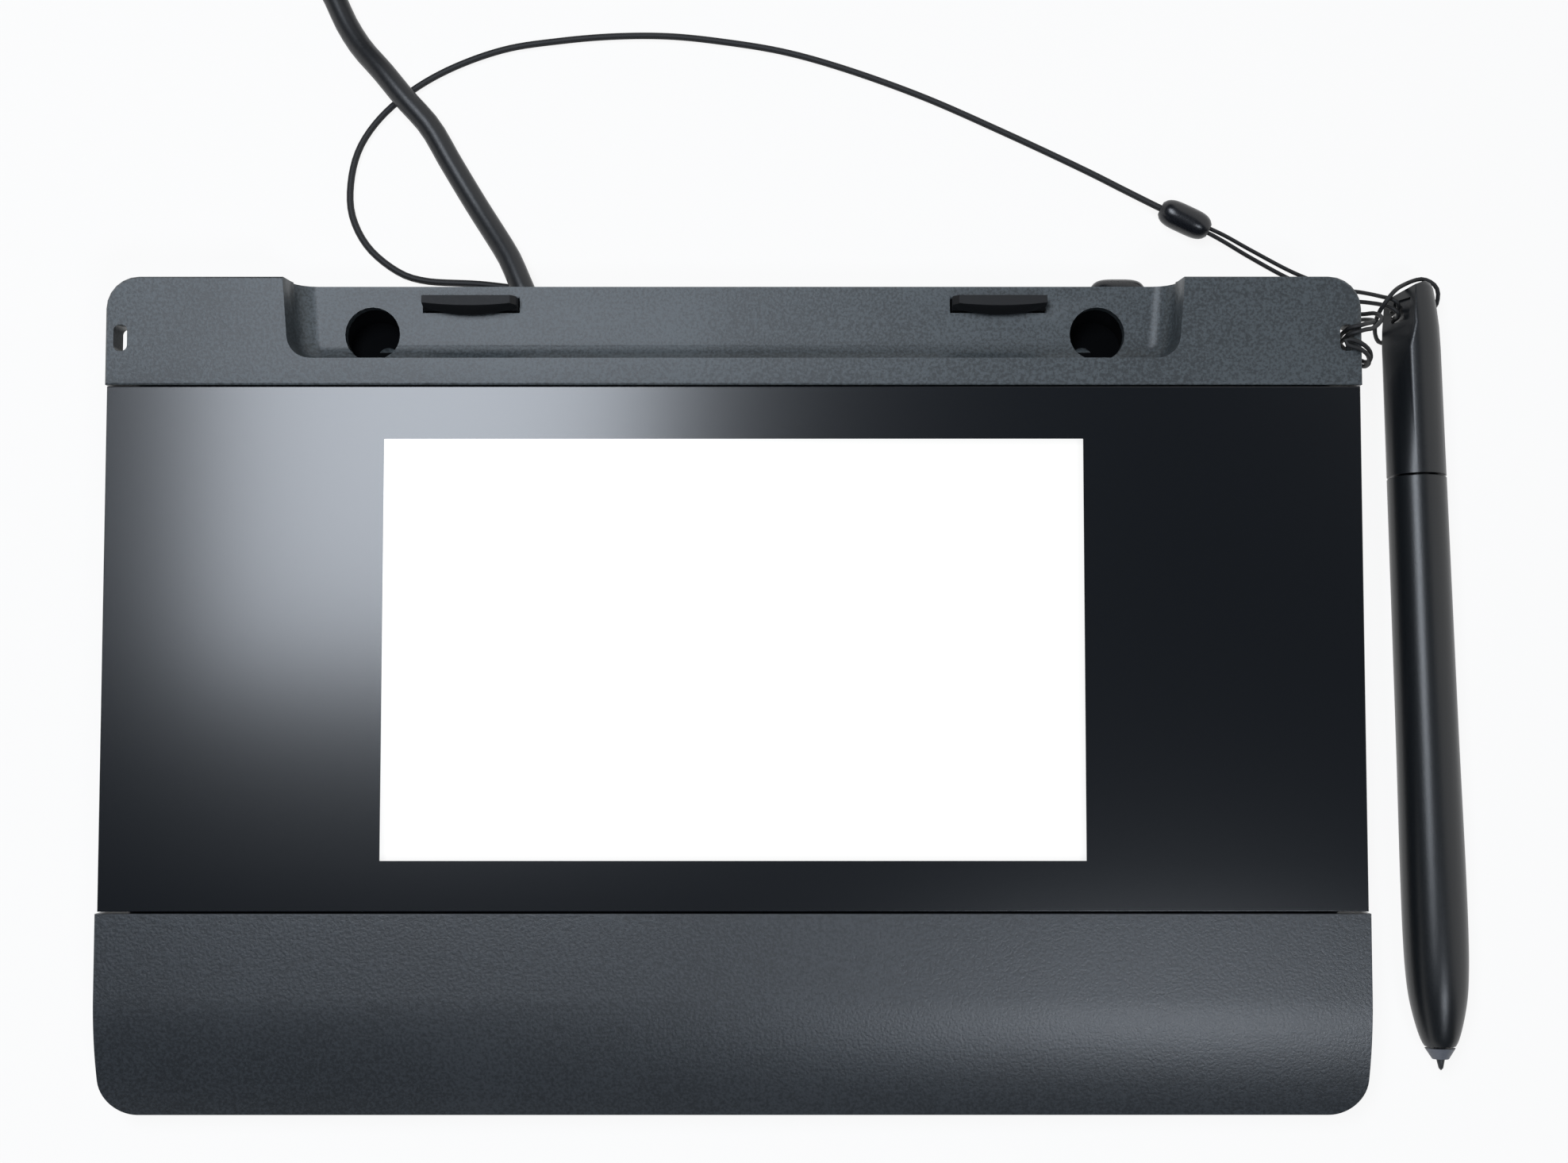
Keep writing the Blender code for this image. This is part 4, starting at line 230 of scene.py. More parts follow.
class PadSizes(bpy.types.PropertyGroup):
    width: length("Width", "Width of the pad", 0.1946)
    depth: length("Depth", "Depth of the deck, along its slope", 0.1276)
    front_height: length("Front height", "Height of the deck's front line", 0.0086)
    back_height: length("Back height", "Height of the deck's back line", 0.0175)
    palm_depth: length("Palm rest depth", "Depth of the palm rest", 0.0295)
    seam: length("Seam", "Gap between the pieces of the deck", 0.0003)
    rim_depth: length("Rim", "Height of the rim that overhangs the tub", 0.0045)
    nose_reach: length("Nose reach", "How far the palm rest reaches past the front line", 0.0014)
    roll_start: length("Roll start", "Where the palm rest starts to roll down", 0.017)
    roll_drop: length("Roll drop", "How far the palm rest rolls down", 0.0031)
    nose_taper: length("Nose taper", "How much each side draws in at the nose", 0.0006)
    front_corner: length("Front corner", "Radius of the front corners", 0.0055)
    edge: length("Edge", "Radius of the palm rest's edges", 0.0004)
    cover_edge: length("Cover edge", "Radius of the rear housing's top edges", 0.0002)
    panel_drop: length("Panel drop", "How far the panel lies under the deck", 0.0002)
    panel_thickness: length("Panel thickness", "Thickness of the clear panel", 0.0011)
    panel_inset: length("Panel inset", "How far the panel's sides stand in", 0.0003)
    panel_edge: length("Panel edge", "Radius of the panel's edges", 0.00015)
    screen_width: length("Screen width", "Width of the lit screen", 0.108)
    screen_height: length("Screen height", "Height of the lit screen", 0.0648)
    screen_front: length("Screen front", "Distance of the screen from the front line", 0.0375)
    grip_x: length("Grip place", "Distance of a grip from the middle", 0.0418)
    grip_from_back: length("Grip from back", "Distance of a grip's slot from the back", 0.0018)
    grip_width: length("Grip width", "Width of a grip", 0.0148)
    grip_slot: length("Grip slot", "Depth of a grip's slot", 0.0026)
    grip_thickness: length("Grip thickness", "Thickness of a grip at its ends", 0.0016)
    grip_bow: length("Grip bow", "How far a grip bows to the front", 0.0012)
    grip_rise: length("Grip rise", "Height of a grip over the tray", 0.0030)
    grip_chamfer: length("Grip chamfer", "Size of the cut at a grip's inner end", 0.0013)
    grip_edge: length("Grip edge", "Radius of a grip's edges", 0.00025)
    tray_depth: length("Tray depth", "Depth of the tray under the deck", 0.007)
    tray_floor: length("Tray floor", "Thickness of the tray's floor", 0.002)
    socket_x: length("Socket place", "Distance of a socket from the middle", 0.0574)
    socket_y: length("Socket from front", "Distance of a socket from the front line", 0.11975)
    socket_radius: length("Socket radius", "Inner radius of a socket", 0.00435)
    socket_lean: angle("Socket lean", "How far a socket leans forward", 15.0)
    lug_radius: length("Lug radius", "Radius of the lug in a socket, with a little room", 0.00165)
    lug_reach: length("Lug reach", "Distance of a lug from its socket's axis", 0.0036)
    lug_bearing: angle("Lug bearing", "Where a lug stands round its socket", 55.0)


class PenSizes(bpy.types.PropertyGroup):
    x: length("Pen place", "Distance of the pen from the pad's middle", 0.1088)
    tip_y: length("Tip place", "Distance of the tip from the front line", 0.0054)
    radius: length("Radius", "Greatest radius of the pen", 0.0049)
    grip: length("Grip", "Distance from the tip to the middle of the grip", 0.024)
    seam: length("Seam", "Distance from the tip to the barrels' seam", 0.0922)
    seam_edge: length("Seam edge", "Size of the chamfer at the barrels' seam", 0.00012)
    bore: length("Bore", "Inner radius of the front barrel", 0.0034)
    bore_end: length("Bore end", "Distance from the tip to the end of the bore", 0.05)
    nose_bore: length("Nose bore", "Radius of the hole for the nib", 0.00095)
    pitch: angle("Pitch", "How far the pen tips on its grip", 0.5)
    yaw: angle("Yaw", "How far the pen is turned", 0.18)


class CordSizes(bpy.types.PropertyGroup):
    lead: length("Lead", "Diameter of the USB lead", 0.0038)
    tether: length("Tether", "Diameter of the tether's cord", 0.00115)
    loop: length("Loop", "Diameter of the tether's thin loops", 0.0007)
    bead_length: length("Bead length", "Length of a bead", 0.0086)
    bead_radius: length("Bead radius", "Greatest radius of a bead", 0.0023)
    bead_end: length("Bead end", "Radius of a bead's ends", 0.0014)
    into_bead: length("Into the bead", "How far the cords reach into a bead's mouth", 0.0005)
    pad_bead: position("Pad bead", "Where the bead at the pad lies", (0.0621, 0.12875))
    pen_bead: position("Pen bead", "Where the bead at the pen lies", (0.0734, 0.1412))
    pen_bead_turn: angle("Bead turn", "How the bead at the pen is turned", -26.0)
    exit_x: length("Exit place", "Where the lead leaves the back wall", -0.0321)
    exit_height: length("Exit height", "Height of the lead's exit", 0.0042)
    exit_turn: angle("Exit turn", "How the lead's exit is turned", 30.0)
    exit_out: length("Exit out", "How far the strain relief stands out", 0.0019)
    back_at_foot: length("Back at foot", "How far the tub's back wall leans in", 0.0027)
    coil_outer: length("Coil radius", "Radius of the coil's outer turn", 0.029)
    coil_pitch: length("Coil pitch", "Distance between the coil's turns", 0.0044)
    coil_layers: IntProperty(name="Coil layers", description="Layers of the coil", default=4)
    coil_turns: FloatProperty(name="Coil turns", description="Turns in each layer", default=2.5)


class Finishes(bpy.types.PropertyGroup):
    rear: colour("Rear housing", "Grey moulded ABS of the rear housing", "#444a4d")
    front: colour("Palm rest", "Darker moulded ABS of the palm rest", "#303438")
    panel: colour("Panel", "Black print behind the clear panel", "#101419")
    screen: colour("Screen", "Light of the blank screen", "#fefefe")
    rubber: colour("Rubber", "Black rubber of the grips and feet", "#090a0d")
    vinyl: colour("Vinyl", "Black vinyl of the lead", "#15171a")
    cord: colour("Cord", "Black braid of the tether", "#1a1b1e")
    bead: colour("Bead", "Black rubber of the beads", "#14161b")
    pen: colour("Pen", "Dark plastic of the pen", "#16191c")
    ring: colour("Nose ring", "Light plastic of the nose ring", "#6a6d74")
    nib: colour("Nib", "Dark plastic of the nib", "#2b2c2f")
    # The sockets' near black is the plastic's black made darker still: painted shade for the deep holes
    socket: colour("Socket", "Black plastic of the sockets", "#030406")
    floor: colour("Floor", "Pale floor", "#ffffff")


class StageSettings(bpy.types.PropertyGroup):
    lens: FloatProperty(name="Lens", description="Focal length in millimetres", default=44.69)
    camera_place: position("Camera place", "Where the camera stands", (-0.00046, -0.02114, 0.31121))
    camera_turn: FloatVectorProperty(
        name="Camera turn", description="How the camera is turned", size=3, subtype="EULER",
        default=(math.radians(7.129), math.radians(-0.008), math.radians(-0.007)),
    )
    floor_size: length("Floor size", "Width of the floor", 12.0)
    floor_drop: length("Floor drop", "How far the floor lies under the feet", 0.0002)


def settings():
    return bpy.context.scene.signature_pad


# Frames of the deck, of the desk under the front line, and of the pen

def deck_tilt():
    pad = settings().pad
    return math.asin((pad.back_height - pad.front_height) / pad.depth)


def deck_frame():
    place = Matrix.Translation((-MIDDLE_X, -MIDDLE_Y, settings().pad.front_height))
    return place @ Matrix.Rotation(deck_tilt(), 4, "X")


def desk_frame():
    return Matrix.Translation((-MIDDLE_X, -MIDDLE_Y, 0))


def pen_frame():
    pen = settings().pen
    place = (pen.x - MIDDLE_X, pen.tip_y + pen.grip - MIDDLE_Y, pen.radius)
    turn = Euler((math.radians(-90.0) + pen.pitch, 0, pen.yaw))
    return Matrix.Translation(place) @ turn.to_matrix().to_4x4()


# Materials

def feed(tree, node, inputs):
    """Sets a node's inputs to values, or links them to other nodes or their outputs."""
    for name, value in inputs.items():
        if isinstance(value, bpy.types.Node):
            value = value.outputs[0]
        if isinstance(value, bpy.types.NodeSocket):
            tree.links.new(value, node.inputs[name])
        else:
            node.inputs[name].default_value = value


def add_node(tree, kind, inputs=None, **options):
    """A shader node with its options, its values and its links."""
    node = tree.nodes.new("ShaderNode" + kind)
    for name, value in options.items():
        setattr(node, name, value)
    feed(tree, node, inputs or {})
    return node


def new_material(name):
    """A material with its node tree, its shader and its texture coordinates."""
    made = bpy.data.materials.new(name)
    made.use_nodes = True
    tree = made.node_tree
    return made, tree, tree.nodes["Principled BSDF"], add_node(tree, "TexCoord").outputs


def tinted(tree, factor, base, spread):
    """The base colour, darker and lighter by this spread as the factor goes from 0 to 1."""
    ramp = add_node(tree, "ValToRGB", {"Fac": factor})
    low, high = ramp.color_ramp.elements
    low.position, high.position = 0.3, 0.7
    low.color = (*(c * (1 - spread) for c in base), 1)
    high.color = (*(c * (1 + spread) for c in base), 1)
    return ramp


def moulded_plastic(name, base, roughness, grain, depth, spread=0.06, ior=1.52):
    """A moulded skin: a fine even grain that breaks the highlights, and a mottle 20 mm wide."""
    made, tree, shader, coords = new_material(name)
    at = coords["Object"]
    fine = add_node(
        tree, "TexNoise", {"Vector": at, "Scale": 1 / grain, "Detail": 3.0, "Roughness": 0.6}
    )
    broad = add_node(tree, "TexNoise", {"Vector": at, "Scale": 1 / 0.02, "Detail": 2.0})
    # The noise keeps near its middle, so its light and dark grains are drawn apart
    grains = add_node(tree, "MapRange", {"Value": fine, "From Min": 0.38, "From Max": 0.62})
    mottle = add_node(tree, "Mix", {"Factor": 0.5, "A": grains, "B": broad})
    rough = add_node(
        tree, "MapRange", {"Value": fine, "To Min": roughness - 0.06, "To Max": roughness + 0.06}
    )
    feed(tree, shader, {
        "Base Color": tinted(tree, mottle, base, spread), "Roughness": rough, "IOR": ior,
        "Normal": add_node(tree, "Bump", {"Height": fine, "Distance": depth, "Strength": 1.0}),
    })
    return made


def finishes():
    """Every finish of the object, made once, by the name of its slot in the record."""
    colours = settings().finishes
    # Slot, name, colour, roughness, the grain's width and depth, and for some the colour's spread and
    # the IOR
    plastics = (
        # Spark-eroded ABS: a dry grey speckle, its grains wide enough to show in a view of the whole
        # pad
        ("rear_housing_plastic", "rear ABS", colours.rear, 0.44, 0.00045, 0.00003, 0.4),
        # The same ABS, darker and rubbed by hands: the speckle with a broad sheen
        ("front_housing_plastic", "palm rest ABS", colours.front, 0.36, 0.00045, 0.00004, 0.25, 1.61),
        # Rough black ABS, made darker still as painted shade deep in the tray: it sends hardly any
        # light back
        ("socket_plastic", "socket ABS", colours.socket, 0.9, 0.0003, 0.00002, 0.06, 1.2),
        # Compression-moulded silicone: dull and nearly black
        ("black_rubber", "silicone rubber", colours.rubber, 0.6, 0.0004, 0.00002, 0.06, 1.42),
        # Polished rubber: one tight highlight along the bead
        ("bead_rubber", "bead rubber", colours.bead, 0.27, 0.0005, 0.000008),
        # Extruded soft vinyl: a soft line of light along the lead
        ("cable_vinyl", "soft vinyl", colours.vinyl, 0.42, 0.0006, 0.00002),
        # Fine-textured ABS: satin, with long soft lines of light
        ("pen_plastic", "pen ABS", colours.pen, 0.33, 0.0003, 0.00001),
        ("nose_ring_plastic", "nose ring ABS", colours.ring, 0.45, 0.0003, 0.00001),
        # Turned POM: waxy and even
        ("nib_plastic", "nib POM", colours.nib, 0.5, 0.0002, 0.000005),
        # Screen-printed solder mask: deep green, glossy between its traces
        ("circuit_board", "solder mask", linear("#1f5a37"), 0.35, 0.001, 0.00002),
        # Moulded PBT: milky, with a soft shine
        ("white_plastic", "white PBT", linear("#d9d8d2"), 0.45, 0.0004, 0.00001),
        # Moulded epoxy: a sandy dark grey
        ("chip_resin", "chip resin", linear("#1d1e20"), 0.5, 0.0002, 0.00001),
        # Cast polyimide: smooth amber
        ("flex_film", "polyimide film", linear("#a8672b"), 0.3, 0.002, 0.00001),
        # Foamed PE: open pores without a shine
        ("black_foam_tape", "PE foam", linear("#17181a"), 0.85, 0.0006, 0.00005),
    )
    made = {slot: moulded_plastic(*row) for slot, *row in plastics}
    made["panel_acrylic"] = anti_glare_acrylic()
    made["display_glass"] = lit_screen()
    made["braided_cord"] = braided_polyester()
    made["steel"] = stamped_steel()
    made["copper_winding"] = enamelled_copper()
    return made


def anti_glare_acrylic():
    """PMMA with an anti-glare hard coat: black behind, and one broad soft sheen without an edge."""
    made, tree, shader, coords = new_material("anti-glare PMMA")
    etch = add_node(
        tree, "TexNoise", {"Vector": coords["Object"], "Scale": 1 / 0.00035, "Detail": 2.0}
    )
    feed(tree, shader, {
        "Base Color": tinted(tree, etch, settings().finishes.panel, 0.08),
        "Normal": add_node(tree, "Bump", {"Height": etch, "Distance": 0.000002}),
        "Roughness": 0.2, "IOR": 1.49, "Coat Weight": 0.4, "Coat Roughness": 0.2,
    })
    return made


def lit_screen():
    """A lit colour LCD with a blank page: even light, a shade dimmer in its last 1.2 mm."""
    made, tree, shader, coords = new_material("lit LCD")
    pad = settings().pad
    middle = deck_frame() @ Vector((0, pad.screen_front + pad.screen_height / 2, 0))
    page = add_node(
        tree, "Mapping", {"Vector": coords["Object"], "Location": (-middle.x, -middle.y, 0)}
    )
    parts = add_node(tree, "SeparateXYZ", {"Vector": page}).outputs
    shades = []
    for axis, size in (("X", pad.screen_width), ("Y", pad.screen_height)):
        away, end = add_node(tree, "Math", {0: parts[axis]}, operation="ABSOLUTE"), size / 2
        shades.append(add_node(tree, "MapRange", {
            "Value": away, "From Min": end - 0.0012, "From Max": end, "To Min": 1.0, "To Max": 0.9,
        }))
    dim = add_node(tree, "Math", {0: shades[0], 1: shades[1]}, operation="MULTIPLY")
    light = add_node(
        tree, "Mix", {"Factor": dim, "A": (0, 0, 0, 1), "B": (*settings().finishes.screen, 1)},
        data_type="RGBA",
    )
    feed(tree, shader, {
        "Emission Color": light.outputs["Result"], "Emission Strength": 1.0,
        "Base Color": (*linear("#30332f"), 1), "Roughness": 0.2, "IOR": 1.49,
    })
    return made


def braided_polyester():
    """Polyester braid: crossing strands about 0.4 mm apart round the cord, with a dry sheen."""
    made, tree, shader, coords = new_material("braided polyester")
    light, dark = ((*(c * share for c in settings().finishes.cord), 1) for share in (1.5, 0.6))
    weave = add_node(
        tree, "TexChecker", {"Vector": coords["UV"], "Scale": 1.0, "Color1": light, "Color2": dark}
    ).outputs
    feed(tree, shader, {
        "Base Color": weave["Color"], "Roughness": 0.6, "IOR": 1.5,
        "Normal": add_node(tree, "Bump", {"Height": weave["Fac"], "Distance": 0.00005}),
    })
    return made


def stamped_steel():
    """Nickel-plated stamped steel: bright, with fine rolling marks."""
    made, tree, shader, coords = new_material("nickel-plated steel")
    stretch = add_node(tree, "Mapping", {"Vector": coords["Object"], "Scale": (1.0, 12.0, 1.0)})
    marks = add_node(tree, "TexNoise", {"Vector": stretch, "Scale": 1 / 0.002, "Detail": 3.0})
    feed(tree, shader, {
        "Base Color": tinted(tree, marks, linear("#b9bbbe"), 0.08), "Metallic": 1.0,
        "Roughness": add_node(tree, "MapRange", {"Value": marks, "To Min": 0.25, "To Max": 0.4}),
    })
    return made


def enamelled_copper():
    """Enamelled copper wire, wound turn on turn: fine lines round the coil, about 0.2 mm apart."""
    made, tree, shader, coords = new_material("enamelled copper")
    turns = add_node(
        tree, "TexWave", {"Vector": coords["Object"], "Scale": 1 / 0.004}, bands_direction="Y"
    )
    feed(tree, shader, {
        "Base Color": tinted(tree, turns.outputs["Fac"], linear("#c4713f"), 0.2),
        "Metallic": 1.0, "Roughness": 0.3,
    })
    return made


# The finishes by slot, filled by main() once the settings are there
FINISH = {}


# Shapes

def block(bm, low, high):
    """A box between two corners."""
    low, high = Vector(low), Vector(high)
    verts = bmesh.ops.create_cube(bm, size=1.0)["verts"]
    bmesh.ops.scale(bm, vec=high - low, verts=verts)
    bmesh.ops.translate(bm, vec=(low + high) / 2, verts=verts)


def slice_across(bm, axis, places):
    """Cuts the whole shape by planes square to an axis, at these places along it."""
    normal = Vector((0, 0, 0))
    normal[axis] = 1.0
    for at in places:
        bmesh.ops.bisect_plane(
            bm, geom=[*bm.verts, *bm.edges, *bm.faces], plane_co=normal * at, plane_no=normal
        )


def edges_along(bm, axis, within=lambda co: True):
    """The edges that run along an axis and have both ends within a region."""
    return [
        e for e in bm.edges
        if abs(e.verts[0].co[axis] - e.verts[1].co[axis]) > NEAR
        and all(within(v.co) for v in e.verts)
    ]


def sharp_edges(bm, degrees, within=lambda co: True):
    """The edges that turn by more than this angle and have both ends within a region."""
    return [
        e for e in bm.edges
        if e.calc_face_angle(0) > math.radians(degrees) and all(within(v.co) for v in e.verts)
    ]


def round_edges(bm, edges, radius, segments=3):
    bmesh.ops.bevel(
        bm, geom=edges, offset=radius, offset_type="OFFSET", affect="EDGES", segments=segments,
        profile=0.5, material=-1, clamp_overlap=True,
    )


def turned(line, steps=64):
    """A solid of revolution about Z from a line of (radius, height) points."""
    bm = bmesh.new()
    verts = [bm.verts.new((radius, 0, height)) for radius, height in line]
    edges = [bm.edges.new(pair) for pair in zip(verts, verts[1:])]
    bmesh.ops.spin(
        bm, geom=[*verts, *edges], cent=(0, 0, 0), axis=(0, 0, 1), angle=math.tau, steps=steps,
        use_merge=True,
    )
    bmesh.ops.remove_doubles(bm, verts=bm.verts, dist=WELD)
    bmesh.ops.recalc_face_normals(bm, faces=bm.faces)
    return bm


def in_scene(name, data):
    obj = bpy.data.objects.new(name, data)
    bpy.context.scene.collection.objects.link(obj)
    return obj


def finished(name, bm, place, slot, body, finish=None):
    """A piece from a mesh: set in its place, smoothed, given its finish and carried by its body."""
    mesh = bpy.data.meshes.new(name)
    bm.to_mesh(mesh)
    bm.free()
    mesh.transform(place)
    mesh.shade_smooth()
    mesh.set_sharp_from_angle(angle=math.radians(40.0))
    mesh.materials.append(FINISH[finish or slot])
    obj = in_scene(name, mesh)
    obj.modifiers.new("weighted normals", "WEIGHTED_NORMAL").keep_sharp = True
    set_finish(obj, slot)
    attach(obj, body)
    return obj


def copy_of(node):
    """A merged copy of a CAD node's mesh, with its flat faces whole again."""
    bm = bmesh.new()
    bm.from_mesh(FRAME["nodes"][node].data)
    bmesh.ops.remove_doubles(bm, verts=bm.verts, dist=WELD)
    bmesh.ops.dissolve_limit(bm, angle_limit=math.radians(0.5), verts=bm.verts, edges=bm.edges)
    return bm


def dressed(name, node, slot, body):
    """A piece that keeps its CAD node's shape."""
    made = finished(name, copy_of(node), Matrix.Identity(4), slot, body)
    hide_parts(node)
    return made


def smooth_route(points, spacing):
    """Evenly spaced points on a smooth curve through the route's points."""
    points = [Vector(p) for p in points]
    padded = [points[0] * 2 - points[1], *points, points[-1] * 2 - points[-2]]
    fine = []
    for a, b, c, d in zip(padded, padded[1:], padded[2:], padded[3:]):
        t1 = math.sqrt((b - a).length)
        t2 = t1 + math.sqrt((c - b).length)
        t3 = t2 + math.sqrt((d - c).length)
        parts = max(4, round((c - b).length / spacing * 8))
        for part in range(parts):
            t = t1 + (t2 - t1) * part / parts
            ab = a * ((t1 - t) / t1) + b * (t / t1)
            bc = b * ((t2 - t) / (t2 - t1)) + c * ((t - t1) / (t2 - t1))
            cd = c * ((t3 - t) / (t3 - t2)) + d * ((t - t2) / (t3 - t2))
            abc = ab * ((t2 - t) / t2) + bc * (t / t2)
            bcd = bc * ((t3 - t) / (t3 - t1)) + cd * ((t - t1) / (t3 - t1))
            fine.append(abc * ((t2 - t) / (t2 - t1)) + bcd * ((t - t1) / (t2 - t1)))
    fine.append(points[-1])
    total = along(fine)
    count = max(2, round(total / spacing))
    even, passed, wanted = [fine[0]], 0.0, total / count
    for start, end in zip(fine, fine[1:]):
        step = (end - start).length
        while len(even) < count and passed + step >= wanted * len(even):
            even.append(start.lerp(end, (wanted * len(even) - passed) / step))
        passed += step
    return [*even, fine[-1]]


def along(points):
    """The length of a line through these points."""
    return sum((q - p).length for p, q in zip(points, points[1:]))


def tube(name, points, diameter, slot, resolution):
    """A round cord along these points, as a curve."""
    curve = bpy.data.curves.new(name, "CURVE")
    curve.dimensions = "3D"
    curve.bevel_depth = diameter / 2
    curve.bevel_resolution = resolution
    curve.use_fill_caps = True
    spline = curve.splines.new("POLY")
    spline.points.add(len(points) - 1)
    for point, co in zip(spline.points, points):
        point.co = (*co, 1)
    spline.use_smooth = True
    curve.materials.append(FINISH[slot])
    obj = in_scene(name, curve)
    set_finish(obj, slot)
    return obj


def as_mesh(obj):
    """The same piece as a mesh."""
    graph = bpy.context.evaluated_depsgraph_get()
    mesh = bpy.data.meshes.new_from_object(obj.evaluated_get(graph))
    name, curve, slot = obj.name, obj.data, obj["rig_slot"]
    bpy.data.objects.remove(obj)
    bpy.data.curves.remove(curve)
    made = in_scene(name, mesh)
    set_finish(made, slot)
    return made


# The USB lead

def exit_point(out=0.0):
    """A point on the lead's axis, this far outside the tub's back wall."""
    cords = settings().cords
    y = settings().pad.depth * math.cos(deck_tilt()) - cords.back_at_foot
    x_out, y_out = -out * math.sin(cords.exit_turn), out * math.cos(cords.exit_turn)
    return Vector((cords.exit_x + x_out, y + y_out, cords.exit_height))


def coil_points():
    """The coil from the desk up, layer on layer, and its directions at both ends."""
    cords = settings().cords
    period = cords.coil_turns + COIL_CLIMB
    total = cords.coil_layers * cords.coil_turns + (cords.coil_layers - 1) * COIL_CLIMB
    outer, pitch = cords.coil_outer, cords.coil_pitch
    inner = outer - pitch * cords.coil_turns
    points = []
    for step in range(round(total * COIL_POINTS) + 1):
        turn = step / COIL_POINTS
        level = int(turn // period)
        done = turn - level * period
        start, end, sign = (outer, inner, -1) if level % 2 == 0 else (inner, outer, 1)
        climb = max(0.0, (done - cords.coil_turns) / COIL_CLIMB)
        if climb > 0:
            radius = end + sign * pitch * COIL_CLIMB * climb * (1 - climb)
        else:
            radius = start + sign * pitch * done
        rise = (level + climb * climb * (3 - 2 * climb)) * pitch
        bearing = COIL_ENTRY - math.tau * turn
        x, y = radius * math.cos(bearing), radius * math.sin(bearing)
        points.append(Vector((COIL_CENTRE[0] + x, COIL_CENTRE[1] + y, cords.lead / 2 + rise)))
    first, last = (
        Vector((math.sin(bearing), -math.cos(bearing), 0))
        for bearing in (COIL_ENTRY, COIL_ENTRY - math.tau * total)
    )
    return [points[0] - first * cords.lead, *points, points[-1] + last * cords.lead], first, last


class SIGNATURE_PAD_OT_camera(bpy.types.Operator):
    """Sets the camera where the photograph was taken from"""

    bl_idname = "signature_pad.camera"
    bl_label = "Camera"

    def execute(self, context):
        stage = settings().stage
        camera = bpy.data.cameras.new("camera")
        camera.lens = stage.lens
        camera.sensor_width = 36.0
        camera.clip_start, camera.clip_end = 0.01, 50.0
        obj = in_scene("camera", camera)
        obj.location = stage.camera_place
        obj.rotation_euler = stage.camera_turn
        context.scene.camera = obj
        return {"FINISHED"}


